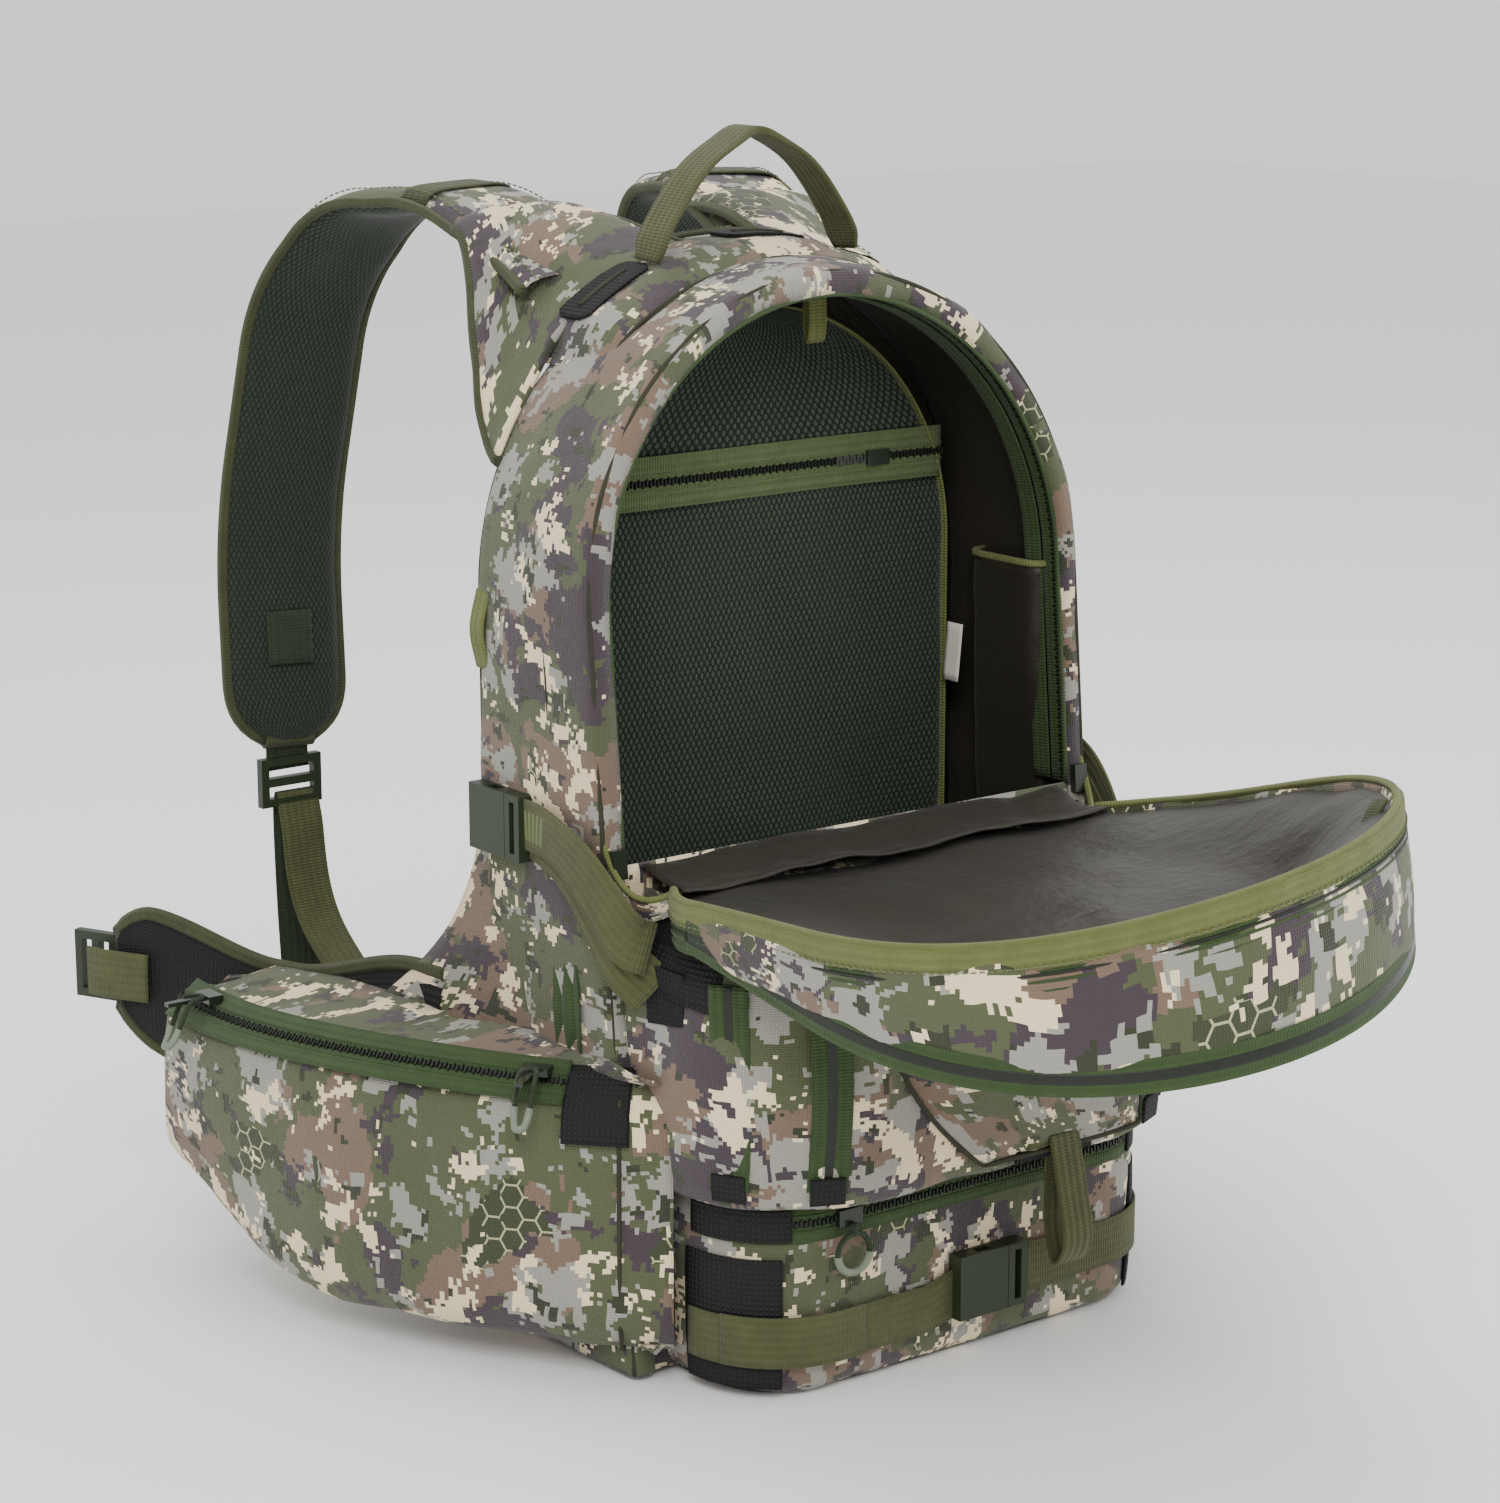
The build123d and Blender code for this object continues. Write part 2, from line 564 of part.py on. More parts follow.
# ---- organiser pocket under the flap ---------------------------------------------------------------
with BuildPart() as organiser_pocket:
    plan = pocket_plan(ORGANISER_HALF, ORGANISER_FRONT, ORGANISER_CORNER, LOWER_TOP + GAP)
    extrude(plan, amount=ORGANISER_TOP - LOWER_TOP - GAP)
    with Locations((0, (FOLD_Y + 0.5 + BACK_Y) / 2, (ORGANISER_TOP + FOLD_Z - 2) / 2)):
        Box(2 * FOLD_HALF, BACK_Y - FOLD_Y - 0.5, FOLD_Z - 2 - ORGANISER_TOP)
    split(bisect_by=FACE.offset(GAP), keep=Keep.TOP)
    offset(amount=-POCKET_WALL, kind=Kind.INTERSECTION, mode=Mode.SUBTRACT)
write(organiser_pocket, "organiser_pocket")


def upright_zip(zip_x):
    """Upright zip tape lying on the organiser's round corner."""
    reach = max(0, abs(zip_x) - (ORGANISER_HALF - ORGANISER_CORNER))
    bulge = sqrt(ORGANISER_CORNER ** 2 - reach ** 2)
    zip_y = ORGANISER_FRONT + ORGANISER_CORNER - bulge
    turn = degrees(atan2(reach, bulge)) * (1 if zip_x > 0 else -1)
    middle = Plane(origin=(zip_x, zip_y, (LOWER_TOP + ORGANISER_TOP) / 2)).rotated((0, 0, turn))
    with BuildPart(middle) as strip:
        with Locations((0, -TAPE_THICKNESS / 2 - GAP, 0)):
            Box(TAPE_WIDTH, TAPE_THICKNESS, ORGANISER_TOP - LOWER_TOP - TAPE_WIDTH)
    return strip.part


with BuildPart() as organiser_zips:
    for distance in UPRIGHT_ZIPS:
        add(upright_zip(-distance))
        add(upright_zip(distance))
write(organiser_zips, "organiser_zips")

# ---- lower front pocket ---------------------------------------------------------------------------
def lower_band(near, far, foot, head):
    """Band round the lower pocket's front between two distances off its face."""
    outer = pocket_plan(LOWER_HALF + far, LOWER_FRONT - far, LOWER_CORNER + far, foot)
    inner = pocket_plan(LOWER_HALF + near, LOWER_FRONT - near, LOWER_CORNER + near, foot)
    return extrude(outer - inner, amount=head - foot, mode=Mode.PRIVATE)


LOWER_BACK = LOWER_FRONT + LOWER_CORNER

with BuildPart() as lower_pocket:
    plan = pocket_plan(LOWER_HALF, LOWER_FRONT, LOWER_CORNER, BASE_THICKNESS)
    extrude(plan, amount=LOWER_TOP - BASE_THICKNESS)
    split(bisect_by=FACE.offset(GAP), keep=Keep.TOP)
    offset(amount=-POCKET_WALL, kind=Kind.INTERSECTION, mode=Mode.SUBTRACT)
write(lower_pocket, "lower_pocket")

with BuildPart() as lower_pocket_zip:
    add(lower_band(0, TAPE_THICKNESS, LOWER_ZIP_Z - TAPE_WIDTH / 2, LOWER_ZIP_Z + TAPE_WIDTH / 2))
    split(bisect_by=Plane.XZ.offset(-LOWER_BACK), keep=Keep.TOP)
write(lower_pocket_zip, "lower_pocket_zip")

LOWER_SLIDER_X = -76.0
SLIDER_FACE = LOWER_FRONT - TAPE_THICKNESS - GAP
with BuildPart() as lower_zip_slider:
    across, along, high = SLIDER
    with Locations((LOWER_SLIDER_X, SLIDER_FACE - high / 2, LOWER_ZIP_Z)):
        Box(along, high, across)
write(lower_zip_slider, "lower_zip_slider")

with BuildPart() as lower_zip_pull:
    ring_plane = Plane.XZ.offset(-SLIDER_FACE + SLIDER[2] + GAP)
    with BuildSketch(ring_plane):
        with Locations((LOWER_SLIDER_X, LOWER_ZIP_Z - RING_STEM - RING_RADIUS)):
            Circle(RING_RADIUS)
            Circle(RING_RADIUS - RING_BAR, mode=Mode.SUBTRACT)
        with Locations((LOWER_SLIDER_X, LOWER_ZIP_Z - RING_DROP - RING_STEM / 2)):
            Rectangle(RING_BAR + 2, RING_STEM)
    extrude(amount=RING_BAR)
write(lower_zip_pull, "lower_zip_pull")

with BuildPart() as lower_patches:
    add(lower_band(0, PATCH_THICKNESS, BASE_THICKNESS + 3, PATCH_HEAD))
    split(bisect_by=Plane.XZ.offset(-LOWER_BACK), keep=Keep.TOP)
    with Locations((0, LOWER_FRONT, STRAP_Z)):
        Box(2 * PATCH_INNER_X, LOWER_CORNER, 4 * WEBBING_WIDTH, mode=Mode.SUBTRACT)
write(lower_patches, "lower_patches")

with BuildPart() as lower_strap:
    strap_foot = STRAP_Z - WEBBING_WIDTH / 2
    near = PATCH_THICKNESS + 0.1
    add(lower_band(near, near + WEBBING_THICKNESS, strap_foot, strap_foot + WEBBING_WIDTH))
    split(bisect_by=Plane.XZ.offset(-LOWER_BACK), keep=Keep.TOP)
    with Locations((BUCKLE_X, LOWER_FRONT, STRAP_Z)):
        Box(BUCKLE_LENGTH, LOWER_CORNER, 2 * WEBBING_WIDTH, mode=Mode.SUBTRACT)
write(lower_strap, "lower_strap")

BUCKLE_Y = LOWER_FRONT - PATCH_THICKNESS - WEBBING_THICKNESS - GAP - BUCKLE_THICKNESS / 2
LOWER_BUCKLE = Plane(origin=(BUCKLE_X, BUCKLE_Y, STRAP_Z), x_dir=(-1, 0, 0), z_dir=(0, -1, 0))
with BuildPart() as lower_buckle_female:
    add(buckle_female(LOWER_BUCKLE))
write(lower_buckle_female, "lower_buckle_female")

with BuildPart() as lower_buckle_male:
    add(buckle_male(LOWER_BUCKLE))
write(lower_buckle_male, "lower_buckle_male")

# ---- gear loop and its patch -----------------------------------------------------------------------
LOOP_TOP = LOWER_TOP + 20
with BuildPart() as loop_patch:
    width, height = LOOP_PATCH
    with Locations((LOOP_X, ORGANISER_FRONT - PATCH_THICKNESS / 2, LOOP_TOP - 4)):
        Box(width, PATCH_THICKNESS, height)
write(loop_patch, "loop_patch")

LOOP_Y = ORGANISER_FRONT - PATCH_THICKNESS - GAP - WEBBING_THICKNESS / 2
with BuildPart() as gear_loop:
    with BuildSketch(Plane.YZ.offset(LOOP_X - LOOP_WIDTH / 2)):
        with BuildLine() as route:
            turn_z = LOOP_TOP - LOOP_LENGTH
            Line((LOOP_Y, LOOP_TOP), (LOOP_Y, turn_z))
            middle = (LOOP_Y - LOOP_DEPTH / 2, turn_z - LOOP_DEPTH / 2)
            ThreePointArc((LOOP_Y, turn_z), middle, (LOOP_Y - LOOP_DEPTH, turn_z))
            Line((LOOP_Y - LOOP_DEPTH, turn_z), (LOOP_Y - 1.5 * WEBBING_THICKNESS, LOOP_TOP))
        trace(route.edges(), WEBBING_THICKNESS)
    extrude(amount=LOOP_WIDTH)
write(gear_loop, "gear_loop")

# ---- side compression straps ------------------------------------------------------------------------
with BuildPart() as side_patches:
    length, height = SIDE_PATCH
    for side in (-1, 1):
        patch_x = side * (ORGANISER_HALF + PATCH_THICKNESS / 2)
        with Locations((patch_x, SIDE_PATCH_Y, ORGANISER_TOP - height / 2 - 4)):
            Box(PATCH_THICKNESS, length, height)
write(side_patches, "side_patches")

SIDE_WEB_X = -HALF - GAP - WEBBING_THICKNESS
SIDE_WEB_BACK = BACK_Y - 14
SIDE_WEB_BEND = -24.0
SIDE_WEB_FRONT = -68.0
with BuildPart() as side_webbing:
    with BuildSketch(Plane.YZ.offset(SIDE_WEB_X)):
        with BuildLine():
            half_web = WEBBING_WIDTH / 2
            Polyline(
                (SIDE_WEB_BACK, SIDE_STRAP_Z + half_web),
                (SIDE_WEB_BEND, SIDE_STRAP_Z + half_web),
                (SIDE_WEB_FRONT, ORGANISER_TOP),
                (SIDE_WEB_FRONT, ORGANISER_TOP - WEBBING_WIDTH),
                (SIDE_WEB_BEND - 10, SIDE_STRAP_Z - half_web),
                (SIDE_WEB_BACK, SIDE_STRAP_Z - half_web),
                close=True,
            )
        make_face()
    extrude(amount=WEBBING_THICKNESS)
write_pair(side_webbing, "side_webbing")

SIDE_BUCKLE = Plane(
    origin=(SIDE_WEB_X - GAP - BUCKLE_THICKNESS / 2, SIDE_BUCKLE_Y - 10, SIDE_STRAP_Z),
    x_dir=(0, 1, 0),
    z_dir=(-1, 0, 0),
)
with BuildPart() as side_buckle_female:
    add(buckle_female(SIDE_BUCKLE))
write_pair(side_buckle_female, "side_buckle_female")

with BuildPart() as side_buckle_male:
    add(buckle_male(SIDE_BUCKLE))
write_pair(side_buckle_male, "side_buckle_male")

# ---- hip belt: wing, side pocket, hip pouch and their zip ------------------------------------------------
WING_X = WING_HINGE[0]
WING_MIDDLE = (WING_X - 22, 182)
WING_TIP = (WING_X - 72, WING_TIP_Y + 4)
WING_ROOT_Y = WING_HINGE[1] + 4
wing_slope = degrees(atan2(WING_TIP_FOOT - WING_FOOT, WING_TIP_Y - WING_ROOT_Y))
WING_UNDERSIDE = Plane(origin=(0, WING_ROOT_Y, WING_FOOT), x_dir=(1, 0, 0)).rotated((wing_slope, 0, 0))


def wing_solid():
    """The padded belt wing, curved round the waist, its underside rising to the tip."""
    with BuildPart() as wing:
        with BuildSketch(Plane.XY.offset(WING_FOOT)):
            with BuildLine():
                inner = [(WING_X, WING_ROOT_Y), WING_MIDDLE, WING_TIP]
                outer = [(x - WING_THICKNESS, y - 1) for x, y in inner]
                ThreePointArc(*inner)
                Line(inner[2], outer[2])
                ThreePointArc(outer[2], outer[1], outer[0])
                Line(outer[0], inner[0])
            make_face()
        extrude(amount=WING_TOP - WING_FOOT)
        split(bisect_by=WING_UNDERSIDE, keep=Keep.TOP)
    return wing.part


def pouch_curve(edge):
    """Front, middle and rear points of the pouches' outer curve, moved in by edge."""
    front = (-ORGANISER_HALF - GAP, POUCH_FRONT_Y + edge)
    middle = (POUCH_MIDDLE[0] + edge, POUCH_MIDDLE[1])
    rear = (POUCH_REAR[0] + edge, POUCH_REAR[1])
    return front, middle, rear


def pouch_plan(level, edge):
    """Plan of side pocket and hip pouch together, edge inside their outer curve."""
    side = -HALF - GAP
    front, middle, rear = pouch_curve(edge)
    with BuildSketch(Plane.XY.offset(level)) as plan:
        with BuildLine():
            ThreePointArc(front, middle, rear)
            end = (POUCH_END[0], POUCH_END[1] - edge)
            bulge = (POUCH_BULGE[0] + edge / 2, POUCH_BULGE[1] - edge)
            ThreePointArc(rear, bulge, end)
            inside_wing = WING_X - WING_THICKNESS / 2
            Polyline(
                end,
                (inside_wing, WING_ROOT_Y),
                (inside_wing, WING_HINGE[1]),
                (side, WING_HINGE[1]),
                (side, POUCH_STEP_Y),
                (front[0], POUCH_STEP_Y),
                front,
            )
        make_face()
    return plan.sketch


wedge_in = radians(WEDGE)
POCKET_REAR = Plane(origin=(WING_X, WING_HINGE[1] - 1, 0), z_dir=(-sin(wedge_in), cos(wedge_in), 0))
POUCH_FACE = Plane(origin=(WING_X, WING_HINGE[1] + 3, 0), z_dir=(sin(wedge_in), cos(wedge_in), 0))

with BuildPart() as side_pocket_room:
    room = pouch_plan(POUCH_FOOT + POCKET_WALL, POCKET_WALL)
    extrude(room, amount=POUCH_TOP - POUCH_FOOT - 2 * POCKET_WALL)
    split(bisect_by=POCKET_REAR.offset(-POCKET_WALL), keep=Keep.BOTTOM)
    split(bisect_by=Plane.YZ.offset(-HALF - GAP - POCKET_WALL), keep=Keep.BOTTOM)

with BuildPart() as side_pocket:
    extrude(pouch_plan(POUCH_FOOT, 0), amount=POUCH_TOP - POUCH_FOOT)
    split(bisect_by=POCKET_REAR, keep=Keep.BOTTOM)
    add(side_pocket_room.part, mode=Mode.SUBTRACT)
write_pair(side_pocket, "side_pocket")

with BuildPart() as hip_wing:
    add(wing_solid())
write_pair(hip_wing, "hip_wing")

with BuildPart() as hip_pouch_room:
    room = pouch_plan(POUCH_FOOT + POCKET_WALL, POCKET_WALL)
    extrude(room, amount=POUCH_TOP - POUCH_FOOT - 2 * POCKET_WALL)
    split(bisect_by=POUCH_FACE.offset(POCKET_WALL), keep=Keep.TOP)
    split(bisect_by=WING_UNDERSIDE.offset(POUCH_LIFT + POCKET_WALL), keep=Keep.TOP)

with BuildPart() as hip_pouch:
    extrude(pouch_plan(POUCH_FOOT, 0), amount=POUCH_TOP - POUCH_FOOT)
    split(bisect_by=POUCH_FACE, keep=Keep.TOP)
    split(bisect_by=WING_UNDERSIDE.offset(POUCH_LIFT), keep=Keep.TOP)
    add(hip_pouch_room.part, mode=Mode.SUBTRACT)
    add(wing_solid(), mode=Mode.SUBTRACT)
write_pair(hip_pouch, "hip_pouch")

with BuildPart() as pouch_zip:
    with BuildSketch(Plane.XY.offset(POUCH_TOP)):
        with BuildLine():
            outer = pouch_curve(ZIP_EDGE)
            inner = pouch_curve(ZIP_EDGE + TAPE_WIDTH)
            ThreePointArc(*outer)
            Line(outer[2], inner[2])
            ThreePointArc(inner[2], inner[1], inner[0])
            Line(inner[0], outer[0])
        make_face()
    extrude(amount=TAPE_THICKNESS)
    split(bisect_by=Plane.YZ.offset(ZIP_FRONT_X), keep=Keep.BOTTOM)
write_pair(pouch_zip, "pouch_zip")

BELT_LOCK_SEAT = Plane(
    origin=(WING_TIP[0] - 9, WING_TIP[1] + 15, (WING_TIP_FOOT + WING_TOP) / 2 - 1),
    x_dir=(0, 0, 1),
    z_dir=(-0.9, -0.43, 0),
)
with BuildPart() as belt_lock:
    add(adjuster(BELT_LOCK_SEAT))
write_pair(belt_lock, "belt_lock")


def pouch_slider(position):
    """Slider on the pouch zip with its loop pull, at a part of the zip's length from its front."""
    with BuildLine() as track:
        ThreePointArc(*pouch_curve(ZIP_EDGE + TAPE_WIDTH / 2))
    place = track.line @ position
    heading = track.line % position
    seat = Plane(
        origin=(place.X, place.Y, POUCH_TOP + TAPE_THICKNESS + GAP),
        x_dir=(heading.X, heading.Y, 0),
        z_dir=(0, 0, 1),
    )
    across, along, high = SLIDER
    with BuildPart(seat) as slider:
        with Locations((0, 0, high / 2)):
            Box(along, across, high)
        with Locations((0, (across + PULL_LENGTH) / 2, high / 2)):
            Box(across / 2, PULL_LENGTH, high / 2)
    return slider.part


with BuildPart() as pouch_slider_front:
    add(pouch_slider(0.2))
write_pair(pouch_slider_front, "pouch_slider_front")

with BuildPart() as pouch_slider_rear:
    add(pouch_slider(0.9))
write_pair(pouch_slider_rear, "pouch_slider_rear")
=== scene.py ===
import math

import bpy
import numpy as np
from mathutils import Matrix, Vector, noise


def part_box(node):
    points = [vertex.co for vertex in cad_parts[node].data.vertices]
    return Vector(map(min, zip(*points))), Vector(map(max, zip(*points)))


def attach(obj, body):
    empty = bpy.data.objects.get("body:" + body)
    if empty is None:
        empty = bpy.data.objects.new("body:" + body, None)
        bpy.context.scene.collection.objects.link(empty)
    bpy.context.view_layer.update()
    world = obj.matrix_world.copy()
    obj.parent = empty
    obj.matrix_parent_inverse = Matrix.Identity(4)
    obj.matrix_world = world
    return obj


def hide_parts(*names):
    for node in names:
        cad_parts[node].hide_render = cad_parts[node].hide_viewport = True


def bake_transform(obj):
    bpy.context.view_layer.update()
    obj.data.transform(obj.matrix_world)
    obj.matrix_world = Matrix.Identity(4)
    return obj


# Looks of a camouflage hunting daypack with its main flap folded down.
# Lengths are in millimetres in this file and become metres when a mesh is made. Materials, lights and the
# camera are in metres.

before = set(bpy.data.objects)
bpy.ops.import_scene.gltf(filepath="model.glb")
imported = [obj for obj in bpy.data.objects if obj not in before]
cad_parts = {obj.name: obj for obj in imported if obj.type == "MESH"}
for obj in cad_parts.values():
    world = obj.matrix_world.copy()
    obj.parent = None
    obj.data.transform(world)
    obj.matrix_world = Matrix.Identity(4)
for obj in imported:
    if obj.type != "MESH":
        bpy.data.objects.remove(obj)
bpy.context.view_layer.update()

MM = 0.001
SIDES = (("left", -1), ("right", 1))
X, Y, Z = (1, 0, 0), (0, 1, 0), (0, 0, 1)


def cad_box(node):
    """Lowest and highest corner of a CAD node, in millimetres."""
    low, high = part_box(node)
    return np.array(low) / MM, np.array(high) / MM


def cad_middle(node):
    low, high = cad_box(node)
    return (low + high) / 2


shell_low, shell_high = cad_box("main_shell")
HALF = shell_high[0]
CROWN = shell_high[2]
BACK = shell_high[1]
FOOT = shell_low[2]
ARCH_Z = CROWN - HALF
WALL = 5.0
LINE_STEP = 5.0  # between points of an outline
FACE_Y = -34.0  # zipped face, at the height of the fold line
FACE_SLOPE = math.tan(math.radians(5.0))
FOLD = np.array([0.0, -54.0, 238.0])
FOLD_HALF = 128.0
FLAP_RISE = math.radians(8.5)
FLAP_OUT = np.array([0.0, -math.cos(FLAP_RISE), math.sin(FLAP_RISE)])
FLAP_DOWN = np.array([0.0, -math.sin(FLAP_RISE), -math.cos(FLAP_RISE)])
FLAP_LENGTH = 277.5
STRAP_ROOT_X = 65.0

# ---- colours and materials
def colour(r, g, b):
    """Linear colour from 0-255 values."""
    return tuple((c / 255 / 12.92) if c < 11 else ((c / 255 + 0.055) / 1.055) ** 2.4 for c in (r, g, b)) + (1.0,)


class Shader:
    """A material and short ways to add nodes to it."""

    def __init__(self, name):
        self.material = bpy.data.materials.new(name)
        self.material.use_nodes = True
        self.tree = self.material.node_tree
        self.bsdf = self.tree.nodes["Principled BSDF"]
        self.uv = self.add("ShaderNodeTexCoord").outputs["UV"]

    def add(self, kind, **settings):
        node = self.tree.nodes.new(kind)
        for key, value in settings.items():
            setattr(node, key, value)
        return node

    def link(self, source, target):
        if isinstance(source, (int, float, tuple)):
            target.default_value = source
        else:
            self.tree.links.new(source, target)

    def math(self, operation, a, b=0.0, c=0.0):
        node = self.add("ShaderNodeMath", operation=operation)
        for value, socket in zip((a, b, c), node.inputs):
            self.link(value, socket)
        return node.outputs[0]

    def vector(self, operation, a, b=(0.0, 0.0, 0.0), c=(0.0, 0.0, 0.0)):
        node = self.add("ShaderNodeVectorMath", operation=operation)
        for value, socket in zip((a, b, c), node.inputs):
            self.link(value, socket)
        return node.outputs["Value"] if operation == "DOT_PRODUCT" else node.outputs["Vector"]

    def noise(self, vector, scale, detail=2.0, rough=0.5, offset=0.0):
        node = self.add("ShaderNodeTexNoise")
        moved = self.vector("ADD", vector, (offset, offset * 1.7, offset * 0.3))
        self.link(moved, node.inputs["Vector"])
        node.inputs["Scale"].default_value = scale
        node.inputs["Detail"].default_value = detail
        node.inputs["Roughness"].default_value = rough
        return node.outputs[0]

    def above(self, value, edge, soft=0.0):
        if not soft:
            return self.math("GREATER_THAN", value, edge)
        node = self.add("ShaderNodeMapRange")
        self.link(value, node.inputs[0])
        node.inputs[1].default_value = edge - soft
        node.inputs[2].default_value = edge + soft
        return node.outputs[0]

    def mix(self, factor, a, b, blend="MIX"):
        node = self.add("ShaderNodeMix", data_type="RGBA", blend_type=blend)
        self.link(factor, node.inputs[0])
        self.link(a, node.inputs[6])
        self.link(b, node.inputs[7])
        return node.outputs[2]

    def bump(self, height, distance):
        node = self.add("ShaderNodeBump")
        node.inputs["Distance"].default_value = distance
        node.inputs["Strength"].default_value = 1.0
        self.link(height, node.inputs["Height"])
        self.link(node.outputs[0], self.bsdf.inputs["Normal"])

    def finish(self, base, roughness, sheen=0.0, coat=0.0):
        self.link(base, self.bsdf.inputs["Base Color"])
        self.link(roughness, self.bsdf.inputs["Roughness"])
        self.bsdf.inputs["Sheen Weight"].default_value = sheen
        self.bsdf.inputs["Sheen Roughness"].default_value = 0.5
        self.bsdf.inputs["Coat Weight"].default_value = coat
        self.bsdf.inputs["Specular IOR Level"].default_value = 0.3
        return self.material


def wave(shader, coordinate, period):
    """Sine of a coordinate, from 0 to 1, with a period in metres."""
    angle = shader.math("MULTIPLY", coordinate, 2 * math.pi / period)
    return shader.math("MULTIPLY_ADD", shader.math("SINE", angle), 0.5, 0.5)


def split_uv(shader):
    node = shader.add("ShaderNodeSeparateXYZ")
    shader.link(shader.uv, node.inputs[0])
    return node.outputs[0], node.outputs[1]


def hexagons(shader, size):
    """1 on the outlines of a hexagon grid."""
    cell = (1.0, math.sqrt(3.0), 1.0)
    half = (0.5, math.sqrt(3.0) / 2, 0.5)
    scaled = shader.vector("SCALE", shader.uv)
    scaled.node.inputs["Scale"].default_value = 1 / size
    first = shader.vector("SUBTRACT", shader.vector("WRAP", scaled, cell, (0.0, 0.0, 0.0)), half)
    moved = shader.vector("ADD", scaled, half)
    second = shader.vector("SUBTRACT", shader.vector("WRAP", moved, cell, (0.0, 0.0, 0.0)), half)
    flat = (1.0, 1.0, 0.0)
    first = shader.vector("MULTIPLY", first, flat)
    second = shader.vector("MULTIPLY", second, flat)
    lengths = [shader.vector("DOT_PRODUCT", place, place) for place in (first, second)]
    nearer = shader.math("LESS_THAN", lengths[0], lengths[1])
    pick = shader.add("ShaderNodeMix", data_type="VECTOR")
    shader.link(nearer, pick.inputs[0])
    shader.link(second, pick.inputs[4])
    shader.link(first, pick.inputs[5])
    place = shader.vector("ABSOLUTE", pick.outputs[1])
    slanted = shader.vector("DOT_PRODUCT", place, (0.5, math.sqrt(3.0) / 2, 0.0))
    straight = shader.vector("DOT_PRODUCT", place, (1.0, 0.0, 0.0))
    return shader.math("GREATER_THAN", shader.math("MAXIMUM", slanted, straight), 0.455)


def camo_material(name):
    s = Shader(name)
    drift = s.add("ShaderNodeTexNoise")
    s.link(s.uv, drift.inputs["Vector"])
    drift.inputs["Scale"].default_value = 30.0
    bent = s.vector("ADD", s.uv, s.vector("MULTIPLY", drift.outputs["Color"], (0.012, 0.012, 0.0)))
    pixel = 0.0019
    snapped = s.vector("SNAP", bent, (pixel, pixel, pixel))
    brown = colour(118, 98, 82)
    plum = colour(66, 56, 62)
    olive = colour(80, 86, 58)
    grey = colour(150, 148, 138)
    cream = colour(240, 221, 182)
    shade = colour(52, 55, 38)
    large = s.noise(snapped, 15.0, 3.0, 0.55)
    base = s.mix(s.above(large, 0.47), brown, olive)
    base = s.mix(s.above(s.noise(snapped, 21.0, 4.0, 0.62, 3.1), 0.535), base, plum)
    base = s.mix(s.above(s.noise(snapped, 34.0, 4.0, 0.64, 7.7), 0.56), base, grey)
    base = s.mix(s.above(s.noise(snapped, 70.0, 2.0, 0.5, 5.3), 0.64), base, shade)
    zone = s.above(s.noise(snapped, 12.0, 3.0, 0.55, 9.4), 0.625)
    worn = s.above(s.noise(s.uv, 70.0, 1.0, 0.5, 2.2), 0.42)
    comb_lines = s.math("MULTIPLY", hexagons(s, 0.0095), worn)
    base = s.mix(zone, base, s.mix(comb_lines, colour(58, 64, 42), colour(176, 174, 134)))
    base = s.mix(s.above(s.noise(snapped, 38.0, 4.5, 0.7, 1.9), 0.572), base, cream)
    soft = s.noise(s.uv, 9.0, 3.0, 0.5, 4.0)
    tone = s.add("ShaderNodeMapRange")
    s.link(soft, tone.inputs[0])
    tone.inputs[3].default_value = 0.82
    tone.inputs[4].default_value = 1.12
    grey_tone = s.add("ShaderNodeCombineColor")
    for socket in grey_tone.inputs[:3]:
        s.link(tone.outputs[0], socket)
    base = s.mix(1.0, base, grey_tone.outputs[0], "MULTIPLY")
    u, v = split_uv(s)
    weave = s.math("MULTIPLY", wave(s, u, 0.0011), wave(s, v, 0.0011))
    height = s.math("MULTIPLY_ADD", s.noise(s.uv, 42.0, 3.0, 0.6, 6.0), 6.0, weave)
    s.bump(height, 0.00035)
    return s.finish(base, 0.86, sheen=0.18)


def webbing_material(name, dark, light):
    s = Shader(name)
    u, v = split_uv(s)
    ribs = wave(s, v, 0.0016)
    rows = wave(s, u, 0.0042)
    base = s.mix(s.noise(s.uv, 60.0, 3.0, 0.6), dark, light)
    base = s.mix(s.math("MULTIPLY", rows, 0.22), base, tuple(0.55 * c for c in dark[:3]) + (1.0,))
    height = s.math("ADD", s.math("MULTIPLY", ribs, 0.6), rows)
    s.bump(height, 0.0005)
    return s.finish(base, 0.82, sheen=0.08)


def mesh_material(name, dark, light, period):
    s = Shader(name)
    u, v = split_uv(s)
    across = wave(s, s.math("ADD", u, s.math("MULTIPLY", v, 0.55)), period)
    along = wave(s, s.math("SUBTRACT", u, s.math("MULTIPLY", v, 0.55)), period)
    cell = s.math("MULTIPLY", across, along)
    yarn = s.above(cell, 0.30, 0.16)
    base = s.mix(yarn, dark, light)
    tone = s.noise(s.uv, 12.0, 3.0)
    base = s.mix(s.math("MULTIPLY", tone, 0.5), base, dark)
    s.bump(yarn, 0.0006)
    return s.finish(base, 0.85, sheen=0.15)


def plain_material(name, dark, light, roughness, scale=40.0, depth=0.0003, sheen=0.0, coat=0.0):
    s = Shader(name)
    base = s.mix(s.noise(s.uv, scale, 3.0), dark, light)
    s.bump(s.noise(s.uv, scale * 4, 4.0, 0.6, 1.0), depth)
    return s.finish(base, roughness, sheen, coat)


def pad_material(name, dark, light, period):
    s = Shader(name)
    u, v = split_uv(s)
    dots = s.math("MULTIPLY", wave(s, u, period), wave(s, v, period))
    base = s.mix(s.above(dots, 0.55, 0.2), dark, light)
    s.bump(dots, 0.0008)
    return s.finish(base, 0.75)


